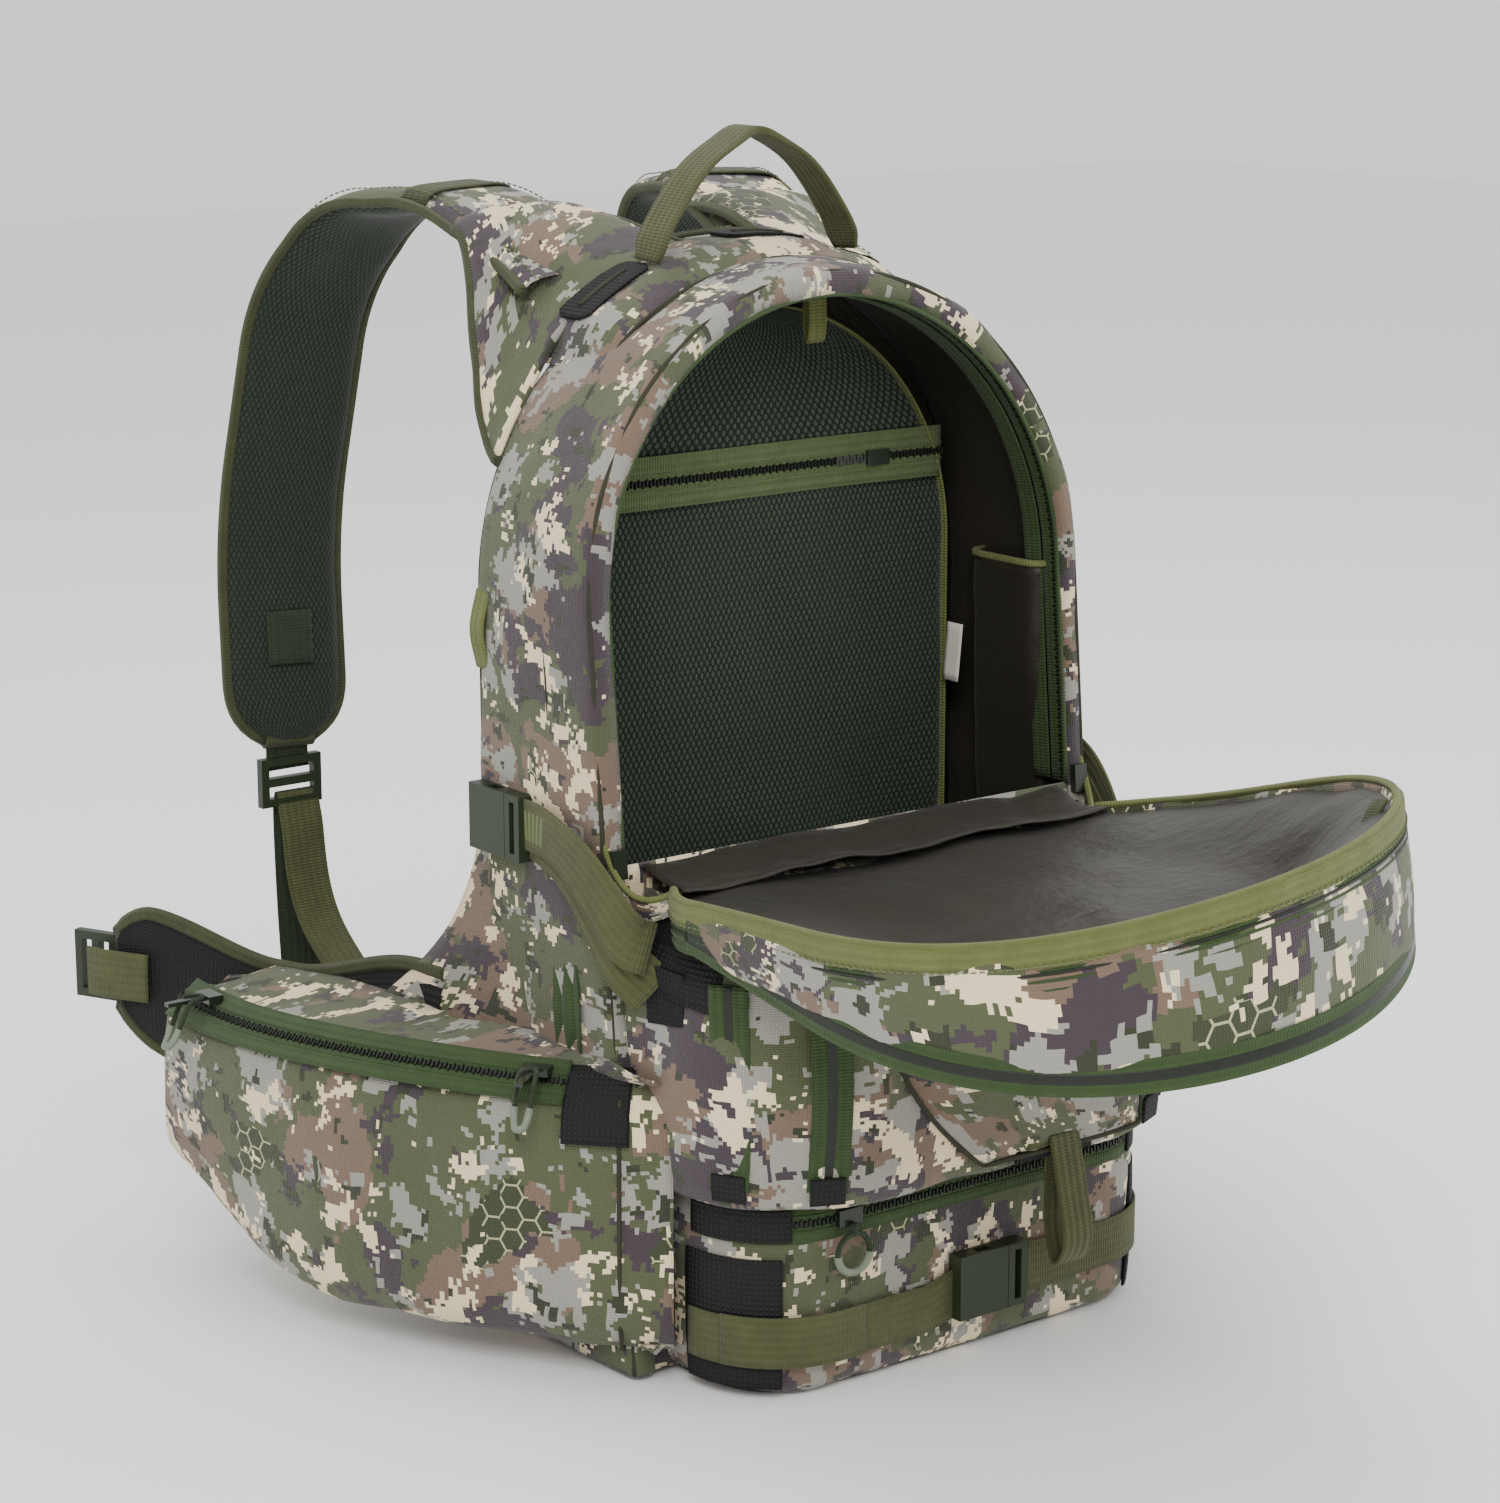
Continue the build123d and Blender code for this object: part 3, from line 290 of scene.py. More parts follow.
CAMO = camo_material("camo_print")
WEB = webbing_material("olive_webbing", colour(60, 63, 36), colour(88, 91, 55))
# On the shoulder straps' tails this dark webbing is painted shade.
WEB_DARK = webbing_material("dark_webbing", colour(32, 42, 27), colour(48, 60, 38))
BINDING = webbing_material("olive_binding", colour(86, 92, 48), colour(116, 121, 70))
EDGING = webbing_material("dark_olive_edging", colour(48, 52, 30), colour(72, 76, 47))
TAPE = webbing_material("zip_tape", colour(40, 58, 28), colour(62, 82, 42))
TAPE_LIGHT = webbing_material("zip_tape_olive", colour(68, 82, 48), colour(98, 110, 70))
MESH = mesh_material("mesh_panel", colour(20, 29, 20), colour(62, 80, 56), 0.0034)
MESH_SOFT = mesh_material("spacer_mesh", colour(20, 30, 20), colour(42, 56, 38), 0.0030)
LINING = plain_material("satin_lining", colour(30, 27, 20), colour(45, 41, 32), 0.46, 18.0, 0.0014, sheen=0.06)
PATCH = pad_material("rubber_patch", colour(20, 20, 20), colour(36, 36, 37), 0.0026)
PLASTIC = plain_material("buckle_plastic", colour(34, 42, 28), colour(46, 56, 38), 0.42, 60.0, 0.0001)
COIL = plain_material("zip_coil", colour(16, 20, 14), colour(34, 40, 28), 0.35, 300.0, 0.0002)
METAL = plain_material("slider_paint", colour(22, 28, 20), colour(38, 46, 34), 0.32, 90.0, 0.0001, coat=0.3)
BASE = plain_material("base_cloth", colour(38, 40, 30), colour(56, 58, 44), 0.8, 60.0, 0.0005, sheen=0.1)
STITCH = plain_material("stitch_thread", colour(84, 92, 60), colour(112, 120, 84), 0.7, 200.0, 0.0001)
# Painted shade: thin dark tubes along the seams, the yoke's front edge, the port slits and the pouch's upright seam
# stand for the shadow in those creases and slits.
SEAM_SHADOW = plain_material("seam_shadow", colour(40, 40, 30), colour(58, 58, 44), 0.9, 80.0, 0.0002)
TUBE = plain_material("pull_tube", colour(96, 108, 92), colour(124, 134, 116), 0.45, 80.0, 0.0002)
LABEL = plain_material("plain_label", colour(196, 190, 180), colour(214, 208, 198), 0.7, 90.0, 0.0002)


# ---- geometry helpers
def unit(v):
    v = np.asarray(v, float)
    length = np.linalg.norm(v, axis=-1, keepdims=True)
    return v / np.maximum(length, 1e-9)


def make(name, points, faces, uvs, material, smooth=True):
    """Mesh object from points in millimetres, with one UV in metres per face corner."""
    mesh = bpy.data.meshes.new(name)
    mesh.from_pydata([tuple(p * MM for p in point) for point in points], [], faces)
    layer = mesh.uv_layers.new(name="UVMap")
    layer.data.foreach_set("uv", np.asarray(uvs, float).reshape(-1))
    mesh.polygons.foreach_set("use_smooth", [smooth] * len(mesh.polygons))
    mesh.materials.append(material)
    mesh.update()
    piece = bpy.data.objects.new(name, mesh)
    bpy.context.scene.collection.objects.link(piece)
    return piece


PIECES = [0]


def uv_start():
    """A different corner of the print for each piece."""
    PIECES[0] += 1
    return (PIECES[0] * 0.173) % 3.0, (PIECES[0] * 0.291) % 3.0


def grid(name, rows, material, wrap=False, cap=False, uv=None):
    """Surface through rows of points; wrap closes each row, cap closes the two ends."""
    rows = np.asarray(rows, float)
    n, m, _ = rows.shape
    if uv is None:
        loop = np.concatenate([rows, rows[:, :1]], axis=1) if wrap else rows
        across = np.linalg.norm(np.diff(loop, axis=1), axis=2).mean(0)
        along = np.linalg.norm(np.diff(rows, axis=0), axis=2).mean(1)
        first, second = uv_start()
        u = np.concatenate([[0], np.cumsum(across)]) * MM + first
        v = np.concatenate([[0], np.cumsum(along)]) * MM + second
    else:
        u, v = uv
    faces, uvs = [], []
    last = m if wrap else m - 1
    for i in range(n - 1):
        for j in range(last):
            k = (j + 1) % m
            faces.append((i * m + j, i * m + k, (i + 1) * m + k, (i + 1) * m + j))
            uvs += [(u[j], v[i]), (u[j + 1], v[i]), (u[j + 1], v[i + 1]), (u[j], v[i + 1])]
    if cap:
        for i, order in ((0, range(m - 1, -1, -1)), (n - 1, range(m))):
            faces.append(tuple(i * m + j for j in order))
            uvs += [(u[j], v[i]) for j in order]
    return make(name, rows.reshape(-1, 3), faces, uvs, material)


def thicken(piece, thickness, offset=0.0):
    """Gives a sheet its real thickness."""
    solid = piece.modifiers.new("Thickness", "SOLIDIFY")
    solid.thickness = thickness * MM
    solid.offset = offset
    return piece


def ruffle(rows, amount, size, seed=0.0, direction=None):
    """Moves points a little along the surface normal, or a direction, by smooth noise."""
    rows = np.asarray(rows, float)
    if direction is None:
        du = np.gradient(rows, axis=1)
        dv = np.gradient(rows, axis=0)
        normal = unit(np.cross(du, dv))
    else:
        normal = np.broadcast_to(np.asarray(direction, float), rows.shape)
    flat = rows.reshape(-1, 3)
    lift = np.array([noise.noise(Vector(p / size) + Vector((seed, seed * 2, 0))) for p in flat])
    return rows + normal * (amount * lift).reshape(rows.shape[:2] + (1,))


def smooth(t):
    """Smooth step from 0 to 1."""
    t = min(max(t, 0.0), 1.0)
    return t * t * (3 - 2 * t)


def resample(points, step):
    """Points evenly spaced along a polyline."""
    points = np.asarray(points, float)
    gaps = np.linalg.norm(np.diff(points[:, :3], axis=0), axis=1)
    at = np.concatenate([[0], np.cumsum(gaps)])
    count = max(2, int(round(at[-1] / step)) + 1)
    wanted = np.linspace(0, at[-1], count)
    return np.stack([np.interp(wanted, at, points[:, k]) for k in range(points.shape[1])], axis=1)


def curve(points, step=3.0):
    """Smooth line through points, evenly sampled."""
    p = np.asarray(points, float)
    p = np.concatenate([[2 * p[0] - p[1]], p, [2 * p[-1] - p[-2]]])
    out = []
    for a, b, c, d in zip(p, p[1:], p[2:], p[3:]):
        for t in np.linspace(0, 1, 16, endpoint=False):
            bow = (2 * a - 5 * b + 4 * c - d) * t * t + (3 * b - a - 3 * c + d) * t ** 3
            out.append(0.5 * (2 * b + (c - a) * t + bow))
    out.append(p[-2])
    return resample(out, step)


def rounded(points, radii, step=3.0):
    """Polyline with its corners rounded to the radii given."""
    p = [np.asarray(q, float) for q in points]
    out = [p[0]]
    for i in range(1, len(p) - 1):
        back, ahead = unit(p[i - 1] - p[i]), unit(p[i + 1] - p[i])
        angle = math.acos(float(np.clip(back @ ahead, -1, 1)))
        reach = radii[i - 1] / math.tan(angle / 2)
        centre = p[i] + unit(back + ahead) * radii[i - 1] / math.sin(angle / 2)
        first, last = p[i] + back * reach - centre, p[i] + ahead * reach - centre
        for t in np.linspace(0, 1, 14):
            out.append(centre + unit(first * (1 - t) + last * t) * radii[i - 1])
    out.append(p[-1])
    return resample(out, step)


def frames(path, across):
    """Unit tangent, across and normal at each point of a path."""
    tangent = unit(np.gradient(path, axis=0))
    across = np.broadcast_to(np.asarray(across, float), path.shape)
    across = unit(across - (across * tangent).sum(1, keepdims=True) * tangent)
    return tangent, across, np.cross(tangent, across)


def sweep(name, path, across, profile, material, size=None, uv=None):
    """Closed profile of (across, normal) points carried along a path."""
    path = np.asarray(path, float)
    _, side, up = frames(path, across)
    profile = np.asarray(profile, float)
    rows = []
    for i, centre in enumerate(path):
        sx, sy = size(i / (len(path) - 1)) if size else (1, 1)
        rows.append(centre + np.outer(profile[:, 0] * sx, side[i]) + np.outer(profile[:, 1] * sy, up[i]))
    return grid(name, rows, material, wrap=True, cap=True, uv=uv)


def flat_profile(width, thick):
    """Outline of a webbing's cross-section, with soft edges."""
    a, b = width / 2, thick / 2
    e = min(a, b) * 0.6
    xs = np.linspace(-a + e, a - e, 6)
    top = [(x, b) for x in xs] + [(a, b - e), (a, -b + e)]
    return top + [(x, -b) for x in xs[::-1]] + [(-a, -b + e), (-a, b - e)]


def ribbon(name, path, across, width, thick, material, size=None):
    """Webbing or tape along a path; u runs across it and v along it."""
    profile = np.array(flat_profile(width, thick))
    along = np.concatenate([[0], np.cumsum(np.linalg.norm(np.diff(path, axis=0), axis=1))]) * MM
    loop = np.concatenate([profile, profile[:1]])
    u = np.concatenate([[0], np.cumsum(np.linalg.norm(np.diff(loop, axis=0), axis=1))]) * MM
    return sweep(name, path, across, profile, material, size=size, uv=(u, along))


def circle(radius, flat=1.0):
    turns = np.linspace(0, 2 * math.pi, 10, endpoint=False)
    return [(radius * math.cos(a), radius * flat * math.sin(a)) for a in turns]


def tube(name, path, radius, material, across=(0.13, 0.31, 0.94), flat=1.0):
    return sweep(name, path, across, circle(radius, flat), material)


def dashes(name, path, across, length, gap, width, thick, material, lift=0.0, zigzag=0.0):
    """Row of small raised bars along a path: stitches, or the teeth of a zip."""
    across = np.broadcast_to(np.asarray(across, float), np.shape(path))
    both = resample(np.concatenate([path, across], axis=1), length + gap)
    path = both[:, :3]
    tangent, side, up = frames(path, both[:, 3:])
    points, faces, uvs = [], [], []
    for i, centre in enumerate(path):
        middle = centre + up[i] * lift + side[i] * (zigzag if i % 2 else -zigzag)
        base = len(points)
        for z in (-thick / 2, thick / 2):
            inset = 0.7 if z > 0 else 1.0
            for a, b in ((-1, -1), (1, -1), (1, 1), (-1, 1)):
                corner = tangent[i] * a * length / 2 * inset + side[i] * b * width / 2 * inset
                points.append(middle + corner + up[i] * z)
        for face in ((3, 2, 1, 0), (4, 5, 6, 7), (0, 1, 5, 4), (1, 2, 6, 5), (2, 3, 7, 6), (3, 0, 4, 7)):
            faces.append(tuple(base + k for k in face))
            uvs += [(0.1 * i, 0.0), (0.1 * i + 0.01, 0.0), (0.1 * i + 0.01, 0.01), (0.1 * i, 0.01)]
    return make(name, points, faces, uvs, material, smooth=False)


def join(name, parts):
    """Joins meshes into one piece, keeping their materials."""
    bpy.context.view_layer.update()
    points, faces, uvs, slots, index = [], [], [], [], []
    for part in parts:
        evaluated = part.evaluated_get(bpy.context.evaluated_depsgraph_get())
        mesh = evaluated.to_mesh()
        material = part.data.materials[0]
        if material not in slots:
            slots.append(material)
        base = len(points)
        points += [part.matrix_world @ v.co for v in mesh.vertices]
        layer = mesh.uv_layers[0].data
        for polygon in mesh.polygons:
            faces.append(tuple(base + k for k in polygon.vertices))
            uvs += [tuple(layer[k].uv) for k in polygon.loop_indices]
            index.append((slots.index(material), polygon.use_smooth))
        evaluated.to_mesh_clear()
    for part in parts:
        bpy.data.objects.remove(part)
    piece = make(name, [p / MM for p in points], faces, uvs, slots[0])
    for material in slots[1:]:
        piece.data.materials.append(material)
    piece.data.polygons.foreach_set("material_index", [i for i, _ in index])
    piece.data.polygons.foreach_set("use_smooth", [s for _, s in index])
    return piece


def lay_print(piece, first, second):
    """Lays the print flat, along two directions, on the faces that look across both."""
    first, second = unit(first), unit(second)
    facing = np.cross(first, second)
    layer = piece.data.uv_layers[0].data
    start = uv_start()
    for polygon in piece.data.polygons:
        if abs(np.array(polygon.normal) @ facing) < 0.62:
            continue
        for corner, index in zip(polygon.loop_indices, polygon.vertices):
            place = np.array(piece.data.vertices[index].co)
            layer[corner].uv = (place @ first + start[0], place @ second + start[1])
    return piece


def put(piece, body, nodes=()):
    """Fixes a finished piece to its body and hides the CAD parts it stands for."""
    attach(piece, body)
    return tell(piece, nodes)


def tell(piece, nodes=()):
    if nodes:
        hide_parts(*nodes)
    return piece


def bend(piece, nodes=()):
    """Bakes a piece's placement into its mesh and hides the CAD parts it stands for."""
    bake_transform(piece)
    return tell(piece, nodes)


def bend_wing(piece, nodes=()):
    """Bakes a piece on the left or right belt wing into place, as bend does."""
    return bend(piece, nodes)


def flip(points, side):
    """Points of a left piece, mirrored for the right one."""
    points = np.array(points, float)
    if side > 0:
        points[..., 0] *= -1
    return points


def outward(rows, side):
    """Reorders the rows of a mirrored sheet, so that its faces still look outward."""
    return rows[:, ::-1] if side > 0 else rows


def off(place, normal, out, level):
    """Point beside a plan point, moved along the plan normal, at a height."""
    return place[0] + normal[0] * out, place[1] + normal[1] * out, level


def plan_normals(line):
    """Unit normals of a plan line, a quarter turn left of its direction."""
    tangent = unit(np.gradient(line, axis=0))
    return np.stack([-tangent[:, 1], tangent[:, 0]], axis=1)

def zip_parts(name, path, across, half_gap, tape_width, material):
    """Two tapes with a coil and its teeth between them, and a ridge on each tape."""
    _, side, up = frames(np.asarray(path, float), across)
    shift, ridge = half_gap + tape_width / 2, half_gap + 2.4
    return [
        ribbon(name + "_a", path + side * shift, across, tape_width, 0.9, material),
        ribbon(name + "_b", path - side * shift, across, tape_width, 0.9, material),
        ribbon(name + "_c", path - up * 0.2, across, 2 * half_gap + 2, 0.8, COIL),
        dashes(name + "_d", path, across, 1.32, 0.88, 4.2, 1.6, COIL, 0.6, 0.5),
        ribbon(name + "_e", path + side * ridge + up * 0.5, across, 1.2, 0.9, material),
        ribbon(name + "_f", path - side * ridge + up * 0.5, across, 1.2, 0.9, material),
    ]


# ---- outline of the main compartment
def arch_line(inset, foot=FOOT):
    """Points (x, z) and outward normals along the arch, from the left foot to the right one."""
    radius = HALF - inset
    upright = np.linspace(foot, ARCH_Z, int((ARCH_Z - foot) / LINE_STEP))
    turn = np.linspace(math.pi, 0, int(math.pi * HALF / LINE_STEP))[1:-1]
    xs = [-radius] * len(upright) + list(radius * np.cos(turn)) + [radius] * len(upright)
    zs = list(upright) + list(ARCH_Z + radius * np.sin(turn)) + list(upright[::-1])
    nx = [-1.0] * len(upright) + list(np.cos(turn)) + [1.0] * len(upright)
    nz = [0.0] * len(upright) + list(np.sin(turn)) + [0.0] * len(upright)
    return np.array(xs), np.array(zs), np.array(nx), np.array(nz)


def face_y(z):
    return FACE_Y + (z - FOLD[2]) * FACE_SLOPE


def shell_rows(depths):
    """Rows round the arch. depths gives (inset, share of the depth) for each point of a row."""
    x, z, nx, nz = arch_line(0)
    front = face_y(z)
    columns = [
        np.stack([x - nx * inset, front + (BACK - front) * share, z - nz * inset], axis=1)
        for inset, share in depths
    ]
    return np.stack(columns, axis=1)


def arch_run(lift, behind):
    """Line round the arch, lifted off it, at a fixed distance behind the zipped face."""
    x, z, nx, nz = arch_line(0)
    return np.stack([x + nx * lift, face_y(z) + behind, z + nz * lift], axis=1)


outside = [(11, 0.0), (6, -0.012), (2.2, -0.008), (0.4, 0.008)]
outside += [(-2.6 * math.sin(math.pi * s) ** 0.8, s) for s in np.linspace(0.02, 0.9, 22)]
outside += [(1.2, 0.93), (4, 0.965), (8, 0.99), (13, 1.0)]
shell_skin = grid("shell_skin", ruffle(shell_rows(outside), 1.9, 34.0, 3.0), CAMO)
put(thicken(shell_skin, 1.2, -1), "pack", ["main_shell"])

# The shell's front, back and side seams are dark tubes of painted shade.
for label, share, inset in (("seam_front", 0.0, 0.6), ("seam_back", 0.93, 0.7)):
    line = shell_rows([(inset, share)])[:, 0]
    put(tube("shell_" + label, line, 1.2, SEAM_SHADOW, across=Y), "pack")
side_seam = arch_run(2.6, 34)
side_seam = side_seam[side_seam[:, 2] > 300]
put(tube("shell_seam_side", side_seam, 0.8, SEAM_SHADOW, across=Y), "pack")
put(dashes("shell_stitches", arch_run(0.9, 6), Y, 2.6, 1.3, 0.6, 0.6, STITCH), "pack")

# the zip tape turned in behind the opening's edge
x, z, nx, nz = arch_line(11.5, foot=246)
tape_path = np.stack([x, face_y(z) + 1.5, z], axis=1)
deeper = tape_path + [0, 15, 0] - np.stack([nx, 0 * nx, nz], axis=1) * 1.5
opening = [
    ribbon("opening_a", tape_path + [0, 4, 0], Y, 10, 1.0, TAPE),
    dashes("opening_b", tape_path + [0, 0.4, 0], Y, 1.3, 0.9, 3.4, 1.8, COIL, 0, 0.4),
    tube("opening_c", tape_path + [0, -1.3, 0], 1.3, TAPE, across=Y),
    ribbon("opening_d", deeper, Y, 12, 1.2, TAPE),
]
put(join("opening_edge", opening), "pack", ["main_zip_body_tape"])

# inside walls, back wall, floor and front panel
ends = shell_rows([(WALL, 0.03), (WALL, 0.95)])
near, far = ends[:, :1], ends[:, 1:]
rows = np.concatenate([near + (far - near) * t for t in np.linspace(0, 1, 14)], axis=1)
lining = grid("shell_lining", ruffle(rows, 3.0, 40.0, 9.0)[:, ::-1], LINING)
put(thicken(lining, 0.8, 1), "pack", ())

def arch_half(z_value, inset):
    radius = HALF - inset
    if z_value <= ARCH_Z:
        return radius
    return math.sqrt(max(radius ** 2 - (z_value - ARCH_Z) ** 2, 4.0))


def arch_panel(inset, y, foot, crown, columns=44, row_step=6.0):
    """Grid of points across the arch at one depth."""
    levels = np.linspace(foot, crown, int((crown - foot) / row_step))
    shares = np.linspace(-1, 1, columns)
    return np.array([[(t * arch_half(level, inset), y, level) for t in shares] for level in levels])


back_wall = arch_panel(WALL, BACK - WALL - 1, FOOT + 5, CROWN - WALL - 1.0)
put(grid("inner_back", ruffle(back_wall, 1.0, 50.0, 2.0), LINING), "pack", ["frame_sheet"])
back_rows = arch_panel(11, BACK + 0.3, FOOT, CROWN - 11.5)
back_skin = grid("back_skin", ruffle(back_rows, 1.0, 40.0, 5.0)[:, ::-1], CAMO)
put(thicken(back_skin, 1.0, -1), "pack", ())

shares = np.linspace(-1, 1, 40)
levels = np.linspace(FOOT, FOLD[2] + 8, 40)
front_rows = [[(t * (HALF - 1), face_y(level) + 0.8, level) for t in shares] for level in levels]
put(thicken(grid("front_panel", front_rows, CAMO), 1.0, 0), "pack")
floor_rows = [
    [(t * (HALF - WALL), y, FOOT + WALL) for t in np.linspace(-1, 1, 20)]
    for y in np.linspace(face_y(0) + 3, BACK - WALL, 12)
]
put(thicken(grid("inner_floor", ruffle(floor_rows, 1.5, 40.0, 1.0, Z), LINING), 0.8), "pack")


def soft_pad(low, high, seed):
    """Grid of a cushion that fills a box: flat in front, domed at the back, with rounded corners."""
    low, high = np.array(low, float), np.array(high, float)
    middle, half = (low + high) / 2, (high - low) / 2
    steps = [-math.cos(math.pi * k / 33) for k in range(34)]
    rows = []
    for v in steps:
        row = []
        for u in steps:
            squeeze = 1 - 0.125 * abs(u) ** 8 * abs(v) ** 8
            dome = (max(0.0, 1 - abs(u) ** 6) * max(0.0, 1 - abs(v) ** 6)) ** 0.5
            x, z = middle[0] + u * half[0] * squeeze, middle[2] + v * half[2] * squeeze
            row.append((x, low[1] + (high[1] - low[1]) * dome, z))
        rows.append(row)
    return ruffle(rows, 0.8, 30.0, seed)


def pad_piece(name, low, high, node, seed):
    """A back pad with piping round it."""
    rows = soft_pad(low, high, seed)
    surface = grid(name + "_top", rows[:, ::-1], MESH_SOFT)
    edge = np.concatenate([rows[0], rows[1:, -1], rows[-1, -2::-1], rows[-2:0:-1, 0]])
    piping = np.concatenate([edge, edge[:1]]) + [0, 1.2, 0]
    ring = tube(name + "_ring", piping, 1.8, BINDING, across=Y)
    put(join(name, [surface, ring]), "pack", [node])


pads_low, pads_high = cad_box("back_pads")
CHANNEL_HALF = 16.0
pad_piece("back_pad_left", pads_low, (-CHANNEL_HALF, pads_high[1], pads_high[2]), "back_pads", 1.0)
pad_piece("back_pad_right", (CHANNEL_HALF, pads_low[1], pads_low[2]), pads_high, "back_pads", 2.0)
pad_piece("lumbar_cushion", *cad_box("lumbar_pad"), "lumbar_pad", 3.0)

# base: an oval drawn out towards its corners
base_low, base_high = cad_box("base_panel")
base_middle, base_reach = (base_low + base_high) / 2, (base_high - base_low) / 2
turns = np.linspace(0, 2 * math.pi, 72, endpoint=False)
outline = [[math.copysign(abs(f(t)) ** 0.35, f(t)) for f in (math.cos, math.sin)] for t in turns]
plan = np.array(outline) * base_reach[:2]
base_steps = ((0.02, 0.0), (0.5, 0.0), (0.97, 0.0), (1.0, 0.8), (1.0, 2.2), (0.985, 3.0), (0.5, 3.0))
rings = [[(*(base_middle[:2] + p * size), level) for p in plan] for size, level in base_steps]
put(grid("base_sheet", rings, BASE, wrap=True), "pack", ["base_panel"])

# ---- mesh pocket, its zip, hang tab and side pocket inside
mesh_low, mesh_high = cad_box("mesh_panel_lower")
zip_low, zip_high = cad_box("mesh_zip")
MESH_Y = mesh_low[1]
margin = HALF - mesh_high[0]


def mesh_rows(foot, crown, sag):
    rows = arch_panel(margin, MESH_Y, foot, crown, 56, 5.0)
    for row in rows:
        for point in row:
            low_part = max(0.0, 1 - (point[2] - 230) / 90)
            fold = math.sin(point[0] * 0.045 + point[2] * 0.03) * 2.2 * low_part
            point[1] -= sag * max(0.0, 1 - abs(point[0]) / 130) + fold * 0.8
    return ruffle(rows, 2.2, 46.0, 4.0, Y)


for name, node, foot, crown in (
    ("mesh_pocket_lower", "mesh_panel_lower", mesh_low[2], zip_low[2] + 3),
    ("mesh_pocket_upper", "mesh_panel_upper", zip_high[2] - 3, CROWN - margin - 1),
):
    net = thicken(grid(name, mesh_rows(foot, crown, 1.5), MESH), 0.9)
    put(net, "pack", [node])

zip_middle = (zip_low[2] + zip_high[2]) / 2
zip_runs = np.linspace(-zip_high[0], zip_high[0], 70)
zip_path = np.array([(t, MESH_Y - 3.2 + 1.2 * math.sin(t * 0.03), zip_middle) for t in zip_runs])
mesh_zip_piece = join("mesh_zip_tapes", zip_parts("mesh_zip", zip_path, Z, 1.6, 11.5, TAPE_LIGHT))
put(mesh_zip_piece, "pack", ["mesh_zip"])
for label, side in SIDES:
    edge_x, edge_y = HALF - margin, MESH_Y - 1.5
    upright = [(side * edge_x, edge_y, level) for level in np.linspace(mesh_low[2], ARCH_Z, 50)]
    turns = np.linspace(0.03, math.pi / 2, 30)
    bow = [(side * edge_x * math.cos(a), edge_y, ARCH_Z + edge_x * math.sin(a)) for a in turns]
    put(ribbon(f"mesh_binding_{label}", np.array(upright + bow), Y, 6, 1.4, BINDING), "pack")

tab_low, tab_high = cad_box("hang_tab")
tab_x, tab_y, _ = (tab_low + tab_high) / 2
tab_foot, tab_head = tab_low[2], tab_high[2]
tab_turns = ((1.4, tab_head), (2.4, tab_foot + 10), (0, tab_foot + 1), (-2.4, tab_foot + 10), (-1.4, tab_head))
tab_path = curve([(tab_x, tab_y + dy, level) for dy, level in tab_turns], 2.0)
put(ribbon("hang_tab_loop", tab_path, X, 11, 1.2, BINDING), "pack", ["hang_tab"])

pocket_low, pocket_high = cad_box("inner_side_pocket")
pocket_depth, pocket_half, _ = (pocket_high - pocket_low) * [1, 0.5, 1]
rows = []
for level in np.linspace(pocket_low[2], pocket_high[2], 26):
    fullness = 0.5 + 0.5 * (level - pocket_low[2]) / 150
    rows.append([
        (pocket_high[0] - pocket_depth * (1 - t ** 6) ** 0.5 * fullness, pocket_low[1] + pocket_half * (1 + t), level)
        for t in np.linspace(-1, 1, 20)
    ])
side_bag = thicken(grid("inner_pocket_bag", ruffle(rows, 2.2, 30.0, 6.0), LINING), 1.0)
side_binding = tube("inner_pocket_binding", np.array(rows[-1]), 1.9, BINDING)
put(join("inner_pocket", [side_bag, side_binding]), "pack", ["inner_side_pocket"])
label_rows = [
    [(pocket_low[0] - 4 - 3 * t, MESH_Y - 6 - 12 * s, 318 - 30 * t) for s in np.linspace(0, 1, 6)]
    for t in np.linspace(0, 1, 8)
]
put(thicken(grid("plain_label", label_rows, LABEL), 0.4), "pack")

# ---- yoke, ports and handle
yoke_low, yoke_high = cad_box("yoke_panel")
YOKE_BACK = yoke_high[1]
YOKE_R = yoke_high[2] - ARCH_Z
yoke_section = [(0.0, 0.0), (0.03, 2.4), (0.08, 5.0), (0.16, 7.4)]
yoke_section += [(s, 9 + 2.2 * math.sin(math.pi * s)) for s in np.linspace(0.28, 0.88, 12)]
yoke_section += [(0.94, 10.0), (0.98, 7.5), (1.0, 3.0), (1.0, -6.0)]
rows = []
for a in np.radians(np.linspace(-46, 46, 90)):
    fade = 1 - 0.85 * smooth((abs(math.degrees(a)) - 37) / 9)
    row = []
    for t, rise in yoke_section:
        radius = HALF + 1.0 + rise * fade
        y = yoke_low[1] + (YOKE_BACK - yoke_low[1]) * t
        row.append((radius * math.sin(a), y, ARCH_Z + radius * math.cos(a)))
    rows.append(row)
yoke_rows = ruffle(rows, 1.6, 26.0, 8.0)
yoke_skin = grid("yoke_skin", yoke_rows, CAMO)
# The yoke's front edge is a dark tube of painted shade.
front_edge = tube("yoke_edge_a", yoke_rows[:, 1] + [0, -0.4, 0], 1.0, SEAM_SHADOW, across=Y)
back_edge = tube("yoke_edge_b", yoke_rows[:, -4] + [0, 0.6, 0], 2.6, EDGING, across=Y)
put(join("yoke_pad", [yoke_skin, front_edge, back_edge]), "pack", ["yoke_panel"])

